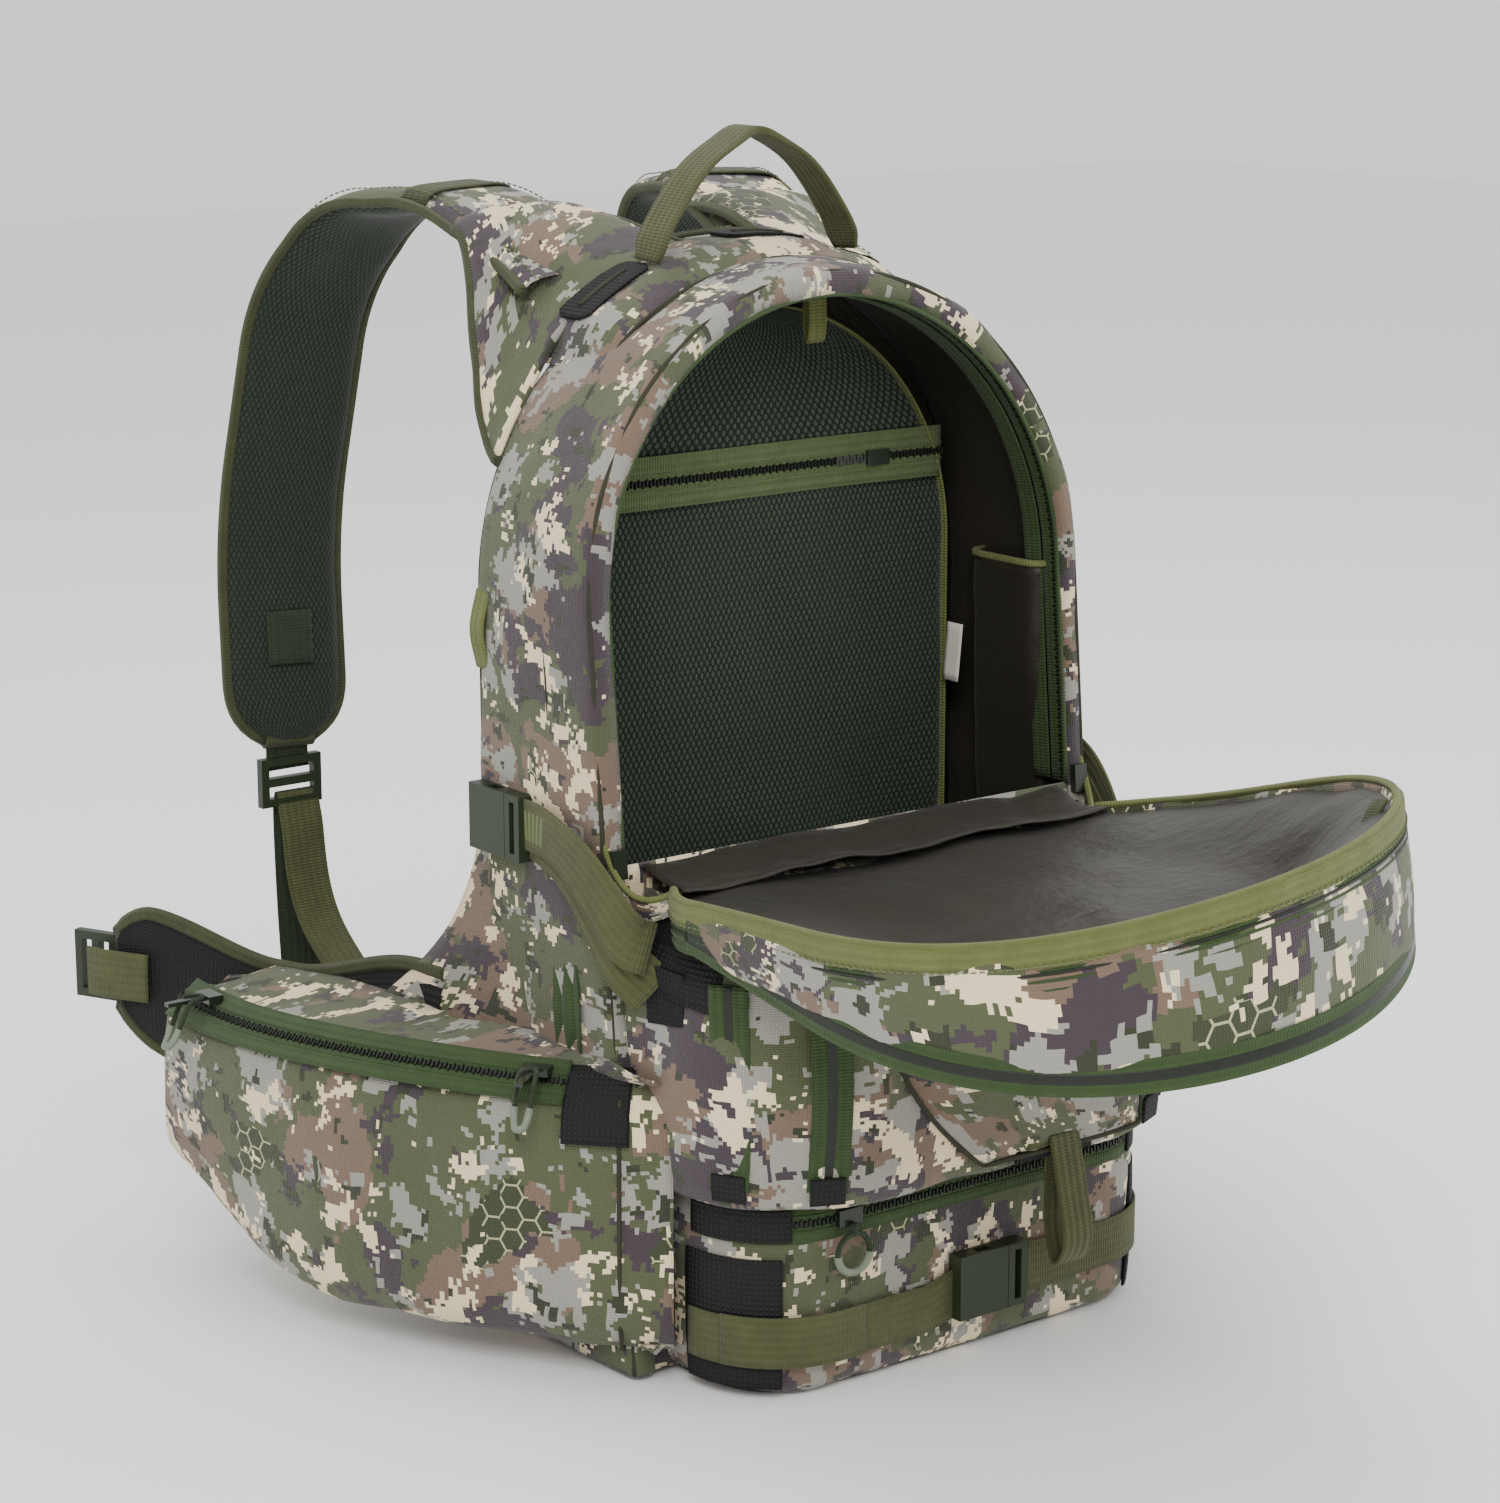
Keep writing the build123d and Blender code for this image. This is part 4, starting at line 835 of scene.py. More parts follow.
port_parts = []
port_centre = np.array([0, 60.0, ARCH_Z])
for k, middle in enumerate((-30.0, 4.0, 30.0)):
    angles = np.radians(middle) + np.linspace(-23, 23, 24) / YOKE_R
    spokes = np.stack([np.sin(angles), 0 * angles, np.cos(angles)], axis=1) * (YOKE_R + 3.0)
    path = port_centre + spokes
    shape = lambda t: (min(1, 0.55 + 6 * min(t, 1 - t)), 1)
    port_parts.append(ribbon(f"port_{k}", path, Y, 26, 1.6, PATCH, size=shape))
    # Each slit is a flat dark tube of painted shade.
    slit = path[4:-4] + spokes[4:-4] * 0.006
    port_parts.append(tube(f"slit_{k}", slit, 1.5, SEAM_SHADOW, across=Y, flat=0.6))
put(join("port_patches", port_parts), "pack", ["hydration_ports"])

handle_low, handle_high = cad_box("grab_handle")
hx, hy = handle_high[0] - 3, (handle_low[1] + handle_high[1]) / 2
hz, ht = handle_low[2], handle_high[2] - 1.6
handle_path = curve([
    (-hx, hy, hz), (-hx + 6, hy - 1, hz + 16), (-hx * 0.58, hy - 2, hz + 42), (-hx * 0.22, hy, ht - 5),
    (0, hy + 1, ht), (hx * 0.22, hy, ht - 5), (hx * 0.58, hy + 2, hz + 42), (hx - 6, hy + 1, hz + 16), (hx, hy, hz),
], 3.0)


def handle_size(t):
    near_foot = min(t, 1 - t) * 7
    near_top = max(0.0, 1 - abs(t - 0.5) * 9)
    return min(1.0, 0.7 + near_foot) * (1 - 0.18 * near_top), 1 + 0.9 * near_top


handle_web = ribbon("handle_web", handle_path, Y, 25, 2.2, WEB, size=handle_size)
put(handle_web, "handle", ["grab_handle"])

# ---- shoulder straps
strap_foot = cad_box("shoulder_strap_left")[0][2]
lock_low, lock_high = cad_box("strap_lock_left")
STRAP_W, STRAP_T = 68.0, 14.0
root_z = ARCH_Z + math.sqrt((HALF + 5.0) ** 2 - STRAP_ROOT_X ** 2)
strap_route = [(-65, YOKE_BACK - 10, root_z - 6), (-80, 178, root_z + 36), (-98, 240, root_z + 30)]
strap_route += [(-114, 278, root_z - 18), (-134, 284, root_z - 140), (-140, 268, root_z - 262)]
strap_line = rounded(strap_route, [85, 60, 88, 380], 4.0)
beyond_yoke = strap_line[:, 1] > YOKE_BACK + 1
above_end = (strap_line[:, 2] > strap_foot + 4) | (strap_line[:, 1] < 200)
strap_line = strap_line[beyond_yoke & above_end]


def strap_shape(t):
    """Share of the full width and of the full thickness along a strap."""
    tip = max(0.0, (t - 0.925) / 0.075)
    root = max(0.0, (0.12 - t) / 0.12)
    return max(0.42, math.sqrt(1 - 0.86 * tip ** 2.6)) + 0.25 * root ** 2, 1 - 0.4 * tip ** 2


def crowned(centre, across, up, half_width, height, shares):
    """Row of points over a padded strap, round at both sides."""
    return [centre + across * u * half_width + up * height * (1 - abs(u) ** 5) ** 0.6 for u in shares]


def harness_panel(label, side, root, across, up, half_width):
    """Loose panel from the pack's shoulder to the top of a strap."""
    rows = []
    for t in np.linspace(0, 1, 22):
        row = []
        ease = smooth(t)
        for u in np.linspace(-1, 1, 22):
            angle = math.radians(side * (38.0 - 28.0 * u))
            radius = HALF + 9.0 - 6.0 * smooth((abs(math.degrees(angle)) - 34) / 22)
            pack_point = (radius * math.sin(angle), YOKE_BACK - 24.0, ARCH_Z + radius * math.cos(angle))
            reach = np.sign(across[0]) * side * -u * half_width
            strap_point = root + across * reach + up * (STRAP_T / 2 + 0.8) * (1 - abs(u) ** 5) ** 0.6
            point = np.array(pack_point) * (1 - ease) + strap_point * ease
            point[1] = pack_point[1] * (1 - t) + strap_point[1] * t
            point[2] += 7 * math.sin(math.pi * t) * (1 - 0.5 * u * u)
            row.append(point)
        rows.append(row)
    rows = outward(ruffle(rows, 1.6, 26.0, 70.0 + side), -side)
    panel = thicken(grid("flare_a", rows, CAMO), 2.0, -1)
    edges = [tube(f"flare_{k}", rows[:, k], 3.0, EDGING) for k in (0, -1)]
    bend(join(f"harness_panel_{label}", [panel] + edges))


for label, side in SIDES:
    path = flip(strap_line, side)
    _, across, up = frames(path, X)
    outside_up = up * (1 if up[len(path) // 2][1] > 0 else -1)
    shapes = [strap_shape(t) for t in np.linspace(0, 1, len(path))]
    half_widths = STRAP_W / 2 * np.array([[w] for w, _ in shapes])
    camo_first = outside_up[0] @ up[0] > 0
    parts = []
    for name, sign, seed in (("strap_a", 1, 2.0), ("strap_b", -1, 5.0)):
        rows = [
            crowned(path[i], across[i], up[i] * sign, half_widths[i], STRAP_T / 2 * t, np.linspace(-sign, sign, 20))
            for i, (_, t) in enumerate(shapes)
        ]
        material = CAMO if (sign > 0) == camo_first else MESH_SOFT
        parts.append(grid(name, ruffle(rows, 1.0, 24.0, seed + side), material))
    for k, edge in ((0, -1), (1, 1)):
        line = path + across * edge * half_widths
        parts.append(tube(f"strap_edge_{k}", line, 3.0, EDGING, across=X, flat=0.9))
        stitched = path + across * edge * (half_widths - 6) + outside_up * (STRAP_T / 2 + 0.1)
        parts.append(dashes(f"strap_stitch_{k}", stitched, X, 2.6, 1.4, 0.6, 0.7, STITCH))
    cut = np.array([path[-1] + across[-1] * u * half_widths[-1] for u in np.linspace(-1, 1, 12)])
    parts.append(tube("strap_end", cut, 4.4, EDGING))
    at = int(len(path) * 0.22)
    band = crowned(path[at], across[at], outside_up[at], STRAP_W / 2 - 1, STRAP_T / 2, np.linspace(-1, 1, 18))
    parts.append(ribbon("strap_band", np.array(band) + outside_up[at], path[at + 1] - path[at], 18, 1.4, EDGING))
    rail = path[-28:-12] + outside_up[-28:-12] * (STRAP_T / 2 + 1.6)
    parts.append(ribbon("strap_rail", rail, X, 20, 1.5, WEB))
    inner_tab = path[-18:-10] - outside_up[-18:-10] * (STRAP_T / 2 + 1.2)
    parts.append(ribbon("strap_tab", inner_tab, X, 26, 1.4, WEB_DARK))
    put(join(f"strap_pad_{label}", parts), f"strap_{label}", [f"shoulder_strap_{label}"])
    harness_panel(label, side, path[16], across[16], outside_up[16], half_widths[16])

    # short webbing that holds the adjuster, then the lower webbings
    end_x, end_y, end_z = path[-1]
    lock_x, lock_y, lock_z = cad_middle("strap_lock_left") * [-side, 1, 1]
    hold = [(end_x, end_y, end_z + 10), (lock_x, lock_y + 2, lock_high[2] + 2), (lock_x, lock_y + 1, lock_z + 6)]
    put(ribbon(f"strap_hold_{label}", curve(hold, 2.0), X, 25, 1.6, WEB_DARK), f"strap_{label}")
    web_x = lock_x - 4 * side
    web_top = lock_low[2] - 1
    # The tail is the same webbing as the anchor; the darker webbing colour on it is painted shade.
    tail = [(lock_y + 1, lock_z - 6), (lock_y + 3.5, web_top - 4)]
    tail += [(lock_y + 2, web_top - 52), (lock_y - 2, web_top - 104)]
    anchor = [(lock_y - 1, lock_z - 6), (lock_y - 4, web_top - 6), (lock_y - 24, web_top - 62)]
    anchor += [(BACK + 74, web_top - 118), (BACK + 4, web_top - 150)]
    webs = [
        ribbon(name, curve([(web_x, y, z) for y, z in route], 4.0), X, 25, 1.5, material)
        for name, route, material in (("tail", tail, WEB_DARK), ("anchor", anchor, WEB))
    ]
    webs = join(f"strap_webs_{label}", webs)
    bend(webs, [f"strap_webbing_{label}"])


# ---- main flap
def flap_point(x, v, w):
    """Point of the flap: x across, v out from the fold, w down into its depth; the open flap is twisted a little."""
    share = v / FLAP_LENGTH
    stretch = 1 + 0.028 * smooth(share)
    w = w - 0.15 * x * smooth(share * 1.05) - 5 * smooth(share)
    return FOLD + np.array([x, 0, 0]) + FLAP_OUT * v * stretch + FLAP_DOWN * w


def flap_rim(step=LINE_STEP, start=0.0):
    """Plan (x, v) of the rim and its outward normals, from the left end of the fold to the right."""
    spring = FLAP_LENGTH - HALF
    left = curve([(-FOLD_HALF, 2.0), (-HALF + 3, 34), (-HALF, 62), (-HALF, spring)], step)
    turn = np.linspace(math.pi, 0, int(math.pi * HALF / step))[1:-1]
    arc = np.stack([HALF * np.cos(turn), spring + HALF * np.sin(turn)], axis=1)
    line = np.concatenate([left, arc, left[::-1] * [-1, 1]])
    keep = line[:, 1] >= start
    return line[keep], plan_normals(line)[keep]


def wall_depth(v):
    return 10 + 65 * min(1.0, v / FLAP_LENGTH)


def lining_depth(v, share):
    """Depth of the lining, at a share of the way from the rim to the middle."""
    return 3 + 45 * min(1.0, v / FLAP_LENGTH) * smooth(share * 2.1)


rim, rim_out = flap_rim()
wall_rows, lining_rows = [], []
for foot, out in zip(rim, rim_out):
    v = foot[1]
    depth = wall_depth(v)
    middle = np.array([0.0, min(v, FLAP_LENGTH - HALF * 0.9)])
    row = [flap_point(*off(foot, out, -turned, w)) for turned, w in ((3.5, 9), (3, 2), (1.2, -0.4))]
    for t in np.linspace(0.0, 1.0, 13):
        puff = 3.2 * math.sin(math.pi * t) * smooth(v / 90)
        row.append(flap_point(*off(foot, out, puff, 0.8 + (depth - 0.8) * t)))
    for t in np.linspace(0.06, 1.0, 12):
        x, reach = foot + (middle - foot) * t
        sink = 13 * smooth(v / 150) * math.sin(math.pi * min(1.0, t * 1.15) / 2) ** 0.8
        row.append(flap_point(x, reach, wall_depth(reach) + sink))
    wall_rows.append(row)
    rim_in = foot - out * 3.2
    places = [(rim_in + (middle - rim_in) * t, t) for t in np.linspace(0, 1, 16)]
    lining_rows.append([flap_point(x, reach, lining_depth(reach, t)) for (x, reach), t in places])
flap_skin = thicken(grid("flap_skin", ruffle(wall_rows, 1.6, 34.0, 12.0), CAMO), 1.0, 0)
lay_print(flap_skin, X, FLAP_OUT)
put(flap_skin, "flap", ["flap_shell"])
flap_inside = grid("flap_inside", ruffle(lining_rows, 3.4, 44.0, 14.0), LINING)
lay_print(flap_inside, X, FLAP_OUT)
seam_v = FLAP_LENGTH * 0.84
seam_half = math.sqrt(HALF ** 2 - (seam_v - FLAP_LENGTH + HALF) ** 2)
lining_seam = [
    flap_point(t * seam_half, seam_v + 4 * math.cos(t * 3), lining_depth(seam_v, 1 - abs(t)) - 5)
    for t in np.linspace(-0.93, 0.93, 40)
]
lining_seam = ribbon("flap_lining_seam", np.array(lining_seam), FLAP_OUT, 9, 1.6, EDGING)
put(join("flap_bowl", [flap_inside, lining_seam]), "flap", ["flap_lining"])


def wall_line(depth, out, start=0.0, step=4.0):
    """Path on the flap's wall; the depth is a number or a function of v."""
    line, normal = flap_rim(step, start)
    depths = [depth(v) if callable(depth) else depth for _, v in line]
    return np.array([flap_point(*off(p, n, out, w)) for p, n, w in zip(line, normal, depths)])


binding_path = ruffle(wall_line(5.0, 1.0, 6)[:, None, :], 0.8, 9.0, 1.0, Z)[:, 0]
rim_parts = [
    ribbon("flap_binding_a", binding_path, FLAP_DOWN, 11, 2.4, BINDING),
    tube("flap_binding_b", wall_line(-0.6, -0.8, 6), 2.2, BINDING),
    dashes("flap_binding_c", wall_line(9.0, 2.5, 6), FLAP_DOWN, 2.4, 1.4, 0.7, 0.7, STITCH),
    ribbon("flap_tape_a", wall_line(16.5, 1.4, 16), FLAP_DOWN, 12, 1.0, TAPE),
]
for k, depth, material in (("b", 12.6, COIL), ("c", 15.5, TAPE), ("d", 19.5, TAPE)):
    rim_parts.append(ribbon(f"flap_tape_{k}", wall_line(depth, 2.1, 16), FLAP_DOWN, 1.4, 1.0, material))
put(join("flap_rim", rim_parts), "flap", ["main_zip_flap_tape"])
low_line = wall_line(lambda v: wall_depth(v) - 7, 2.0, 44, 3.0)
low_zip = zip_parts("flap_low_zip", low_line, FLAP_DOWN, 1.5, 6.0, TAPE)
put(join("flap_low_zip", low_zip), "flap", ["flap_pocket_zip"])

# fabric that turns over the fold, and the small gussets at its ends
FOLD_SECTION = ((-31, 243), (-36, 246), (-43, 244), (-50, 241), (-57, 240), (-64, 240.5), (-72, 241))
rows = []
for t in np.linspace(-1, 1, 60):
    dip = 1.25 * math.cos(t * math.pi * 2.5)
    rows.append([(t * (FOLD_HALF + (4 if y == -72 else 1)), y, z - dip) for y, z in FOLD_SECTION])
fold_strip = thicken(grid("fold_strip", ruffle(rows, 1.6, 22.0, 3.0, Z), LINING), 1.0)
bend(fold_strip)
upper_start, upper_sag = np.array([-HALF + 1, face_y(262) + 1, 262]), np.array([-HALF + 2, -46, 222])
lower_start = np.array([-HALF + 2, face_y(200), 214])
upper_end, lower_end = flap_point(-FOLD_HALF - 2, 8, 0), flap_point(-FOLD_HALF - 3, 10, 10)
for label, side in SIDES:
    rows = []
    for t in np.linspace(0, 1, 18):
        a = upper_start * (1 - t) ** 2 + 2 * t * (1 - t) * upper_sag + t * t * upper_end
        b = lower_start * (1 - t) + t * lower_end
        rows.append([a * (1 - s) + b * s for s in np.linspace(0, 1, 8)])
    rows = ruffle(flip(rows, side), 1.4, 18.0, 2.0, Y)
    gusset = thicken(grid("gusset_a", rows, CAMO), 1.0)
    rim_edge = tube("gusset_b", rows[:, 0], 1.6, BINDING)
    bend(join(f"fold_gusset_{label}", [gusset, rim_edge]))


# ---- front pockets
def pocket_line(half, front, corner, rear):
    """Plan (x, y) round a pocket's front and its outward normals, left to right."""
    step = 4.0
    left = np.array([(-half, y) for y in np.arange(rear, front + corner, -step)] + [(-half, front + corner)])
    turn = np.linspace(math.pi, 1.5 * math.pi, int(1.57 * corner / step))[1:]
    arc = np.array([-half + corner, front + corner]) + corner * np.stack([np.cos(turn), np.sin(turn)], axis=1)
    across = np.arange(-half + corner, half - corner, step)[1:]
    straight = np.stack([across, 0 * across + front], axis=1)
    mirrored = np.concatenate([left, arc])[::-1] * [-1, 1]
    line = resample(np.concatenate([left, arc, straight, mirrored]), step)
    return line, -plan_normals(line)


def bulge(level, low, high, amount, power):
    """How far a filled pocket stands out at a height."""
    share = min(max((level - low) / (high - low), 0), 1)
    return amount * math.sin(math.pi * share) ** power


def nearest_x(line, x_value):
    """Row of the plan line at an x position on the pocket's front."""
    front = np.where(line[:, 1] < line[:, 1].min() + 60)[0]
    return front[np.argmin(abs(line[front, 0] - x_value))]


org_low, org_high = cad_box("organiser_pocket")
ORG_TOP = 212.0
org_line, org_out = pocket_line(org_high[0], org_low[1], 68.0, -36.0)


def org_bulge(level):
    return bulge(level, org_low[2], ORG_TOP, 3.4, 0.7)


def org_point(s, level, out):
    """Point on the organiser's face, at a row of its plan line."""
    return np.array(off(org_line[s], org_out[s], out, level))


def slope_to_fold(start, end, share):
    """Point on the cloth that runs from the organiser's top edge up to the fold."""
    point = start + (end - start) * share
    point[2] = start[2] + (end[2] - start[2]) * share ** 1.6
    return point


rows = []
for p, n in zip(org_line, org_out):
    row = [off(p, n, -7, org_low[2] + 1), off(p, n, -3, org_low[2] + 0.5)]
    row += [off(p, n, org_bulge(level), level) for level in np.linspace(org_low[2] + 3, ORG_TOP - 7, 18)]
    row += [off(p, n, -1.5, ORG_TOP - 2.5), off(p, n, -6, ORG_TOP + 0.5)]
    target_x = max(-FOLD_HALF, min(FOLD_HALF, p[0] * 0.93))
    target = np.array([target_x, max(FOLD[1] + 1.5, min(-36.0, p[1] + 30)), FOLD[2] - 3])
    row += [slope_to_fold(np.array(row[-1]), target, t) for t in np.linspace(0.12, 1, 9)]
    rows.append(row)
organiser_skin = thicken(grid("organiser_skin", ruffle(rows, 2.2, 30.0, 21.0), CAMO), 1.0, 0)
put(organiser_skin, "pack", ["organiser_pocket"])

zip_pieces = []
for x_value in (-131.0, -98.0, 98.0, 131.0):
    s = nearest_x(org_line, x_value)
    path = np.array([
        org_point(s, level, org_bulge(level) + 1.1 + 0.8 * math.sin(level * 0.07 + x_value))
        for level in np.linspace(108, 205, 34)
    ])
    path[:, 0] += 2.2 * np.sin(np.linspace(0, 3.4, 34)) * np.sign(-x_value)
    sideways = (-org_out[s][1], org_out[s][0], 0)
    zip_pieces += zip_parts(f"upright_{int(x_value)}", path, sideways, 1.2, 8.6, TAPE)
    tab_path = np.array([org_point(s, level, org_bulge(level) + 2.2) for level in np.linspace(102, 115, 6)])
    zip_pieces.append(ribbon(f"upright_tab_{int(x_value)}", tab_path, sideways, 17, 1.2, PATCH))
put(join("upright_zips", zip_pieces), "pack", ["organiser_zips"])

# curved seam and raised panel on the organiser's front
PANEL_FOOT, PANEL_HEIGHT, PANEL_RIGHT = 104, 102, 92
panel_rows = []
for level in np.linspace(PANEL_FOOT, PANEL_FOOT + PANEL_HEIGHT, 26):
    t = (level - PANEL_FOOT) / PANEL_HEIGHT
    left_x = -74 + 62 * (1 - t) ** 2.2
    row = []
    for u in np.linspace(0, 1, 30):
        x = left_x + (PANEL_RIGHT - left_x) * u
        edge = min(1.0, 8 * u, 8 * (1 - u), 8 * max(t, 0.02), 10 * (1 - t) + 0.2)
        lift = 0.6 + 6.5 * edge ** 0.5 * (0.4 + 0.6 * math.sin(math.pi * u))
        point = org_point(nearest_x(org_line, x), level, org_bulge(level) + lift)
        point[0] = x
        row.append(point)
    panel_rows.append(row)
raised = grid("raised_a", ruffle(panel_rows, 1.8, 26.0, 31.0), CAMO)
# The seams along the panel's left and lower edges are dark tubes of painted shade.
seam_left = tube("raised_b", np.array([row[0] for row in panel_rows]) + [0, -1, 0], 1.2, SEAM_SHADOW)
seam_low = tube("raised_c", np.array(panel_rows[0]) + [0, -1, 0], 1.2, SEAM_SHADOW)
put(join("organiser_panel", [raised, seam_left, seam_low]), "pack")

low_low, low_high = cad_box("lower_pocket")
LOW_FOOT, LOW_HEAD = low_low[2], low_high[2]
low_line, low_out = pocket_line(low_high[0], low_low[1], 45.0, -40.0)


def low_point(s, level, out):
    """Point on the lower pocket's face, lifted off it, at a row of its plan line."""
    return np.array(off(low_line[s], low_out[s], bulge(level, LOW_FOOT, LOW_HEAD, 2.6, 0.6) + out, level))


def low_path(level, out, rear):
    """Line round the lower pocket's front, as far back as rear."""
    points = np.array([low_point(s, level, out) for s in range(len(low_line))])
    return points[points[:, 1] < rear]


rows = []
for s, (p, n) in enumerate(zip(low_line, low_out)):
    row = [off(p, n, -26, LOW_FOOT - 1.6), off(p, n, -9, LOW_FOOT - 1.2), off(p, n, -3, LOW_FOOT + 0.6)]
    row += [low_point(s, level, 0) for level in np.linspace(LOW_FOOT + 5, LOW_HEAD - 5, 18)]
    row += [off(p, n, -1.5, LOW_HEAD - 1.5), off(p, n, -7, LOW_HEAD + 0.4), off(p, n, -16, LOW_HEAD + 0.4)]
    rows.append(row)
lower_skin = thicken(grid("lower_skin", ruffle(rows, 1.6, 28.0, 23.0), CAMO), 1.0, 0)
put(lower_skin, "pack", ["lower_pocket"])

zip_z = cad_middle("lower_pocket_zip")[2]
lower_zip_parts = zip_parts("low_zip", low_path(zip_z, 1.2, -74), Z, 1.5, 8.0, TAPE)
for k, cut in (("a", slice(0, 13)), ("b", slice(-13, None))):
    lower_zip_parts.append(ribbon(f"low_zip_end_{k}", low_path(zip_z, 2.6, -74)[cut], Z, 17, 1.2, PATCH))
put(join("lower_zip", lower_zip_parts), "pack", ["lower_pocket_zip"])

patch_low, patch_high = cad_box("lower_patches")
levels = np.linspace(patch_low[2], patch_high[2] - 2, 14)
patch_parts = []
for side in (-1, 1):
    corner = [s for s, (x, y) in enumerate(low_line) if x * side >= 106 and y <= -72]
    rows = [[low_point(s, level, 1.5) for level in levels] for s in corner[::-side]]
    patch_parts.append(thicken(grid(f"patch_{side}", rows, PATCH), 1.4, 0))
put(join("corner_patches", patch_parts), "pack", ["lower_patches"])

STRAP_RISE = 7.5
strap_points = low_path(cad_middle("lower_strap")[2] - 8, 3.4, -76)
buckle_low, buckle_high = cad_box("lower_buckle_female")
left_half = strap_points[strap_points[:, 0] < buckle_low[0] + 6]
right_half = strap_points[strap_points[:, 0] > buckle_high[0] - 2] + [0, 0, STRAP_RISE]
left_half[:, 2] += STRAP_RISE * np.clip((left_half[:, 0] + 30) / 30, 0, 1)
strap_parts = [
    ribbon("low_strap_a", left_half, Z, 24, 1.6, WEB),
    ribbon("low_strap_b", right_half, Z, 24, 1.6, WEB),
    ribbon("low_strap_c", left_half[4:22] + [0, -1.8, 0.5], Z, 25, 1.5, WEB),
]
put(join("lower_straps", strap_parts), "pack", ["lower_strap"])

# ---- gear loop and patches
loop_low, loop_high = cad_box("gear_loop")
lx, _, _ = (loop_low + loop_high) / 2
ly, lz = loop_high[1:]
front_y, drop = loop_low[1:]
loop_path = curve([
    (lx, ly - 1, lz), (lx, ly - 1.5, lz - 34), (lx, ly - 2.5, drop + 16), (lx, (ly + front_y) / 2, drop + 1.2),
    (lx, front_y + 1, drop + 13), (lx, front_y + 5, drop + 34), (lx, ly - 4, lz - 6),
], 2.0)
put(ribbon("gear_loop_web", loop_path, X, 19, 1.5, WEB), "gear_loop", ["gear_loop"])


def plate_rows(x_range, y, z_range):
    """Flat grid of points that faces the front."""
    return [[(x, y, z) for z in np.linspace(*z_range, 8)] for x in np.linspace(*x_range, 12)]


tag_low, tag_high = cad_box("loop_patch")
patch_rows = plate_rows((tag_low[0] - 8, tag_high[0]), tag_low[1] - 1.6, (tag_low[2], tag_high[2]))
web_rows = plate_rows((tag_low[0] - 2, tag_high[0] - 8), tag_low[1] - 3.2, (tag_low[2] + 6, tag_high[2] + 6))
patch = thicken(grid("loop_patch_a", patch_rows, PATCH), 1.6)
web = thicken(grid("loop_patch_b", web_rows, WEB), 1.4)
put(join("loop_base", [patch, web]), "pack", ["loop_patch"])

side_parts, corner_parts = [], []
for side in (-1, 1):
    rows = []
    for s, (x, y) in enumerate(org_line):
        if x * side >= 0 and -88 <= y <= -48:
            foot = 182 - 6 * (y + 88) / 40
            rows.append([org_point(s, level, 3.0) for level in np.linspace(foot, ORG_TOP - 6, 10)])
    side_parts.append(thicken(grid(f"side_patch_{side}", rows[::-side], PATCH), 1.4, 0))
put(join("side_patches_skin", side_parts), "pack", ["side_patches"])

for side in (-1, 1):
    rows = []
    for p, n in zip(org_line, org_out):
        x, y = p
        if x * side < 104 or not -104 <= y <= -44:
            continue
        u = (y + 104) / 60
        reach = 0.55 + 0.3 * math.sin(math.pi * u)
        first = np.array(off(p, n, -4, ORG_TOP + 2.5))
        fold_x, fold_y = side * min(FOLD_HALF, abs(x) * 0.93), max(FOLD[1] + 1.5, min(-36.0, y + 30))
        last = np.array([fold_x, fold_y, FOLD[2] - 1])
        row = [off(p, n, 3.4, 190 + 6 * u), off(p, n, 2.6, 202.0)]
        rows.append(row + [slope_to_fold(first, last, t) for t in np.linspace(0, reach, 9)])
    corner_parts.append(thicken(grid(f"corner_{side}", rows[::-side], PATCH), 1.8, 0))
put(join("fold_corner_patches", corner_parts), "pack")

# small tab and pleated tape sewn to the pack's left side, and their mirror images
for label, side in SIDES:
    tab = curve([(-HALF - 1, 62, 364), (-HALF - 5, 62.5, 345), (-HALF - 1, 63, 326)], 3.0)
    pleats = [ribbon("tab", flip(tab, side), Y, 11, 1.6, BINDING)]
    for k in range(4):
        places = ((2.6, -16 + 4.6 * k, 150), (4.5, -18 + 5.4 * k, 172), (2.8, -13 + 4.2 * k, 196))
        pleat = flip(curve([(-HALF - out, y, z) for out, y, z in places], 4.0), side)
        pleats.append(ribbon(f"pleat_{k}", pleat, (0.35 * (-1) ** k, 1, 0), 6, 1.2, TAPE))
    put(join(f"side_trim_{label}", pleats), "pack")

# ---- side straps
web_low, web_high = cad_box("side_webbing_left")
SIDE_ACROSS = (0, 0.35, 1)
UNDER_WEB = ((0, BACK - 10, 0), (-1.5, 20, -2), (-3.5, -16, -14), (-1, -50, -46), (8, -66, -62))
OVER_WEB = ((-3, BACK - 34, 1), (-5, 6, 2), (-6, -26, -8), (-1, -56, -36), (8, -64, -42))
for label, side in SIDES:
    under, over = (
        flip(curve([(web_low[0] - 1.2 + x, y, web_high[2] - 12.5 + z) for x, y, z in route], 4.0), side)
        for route in (UNDER_WEB, OVER_WEB)
    )
    fasten = [
        ribbon("side_web_a", under, SIDE_ACROSS, 25, 1.6, WEB),
        ribbon("side_web_b", over, SIDE_ACROSS, 25, 1.6, WEB),
        dashes("side_web_c", over[3:10] + [0.9 * side, 0, 0], SIDE_ACROSS, 2.4, 1.2, 16, 0.5, STITCH),
    ]
    put(join(f"side_straps_{label}", fasten), "pack", [f"side_webbing_{label}"])


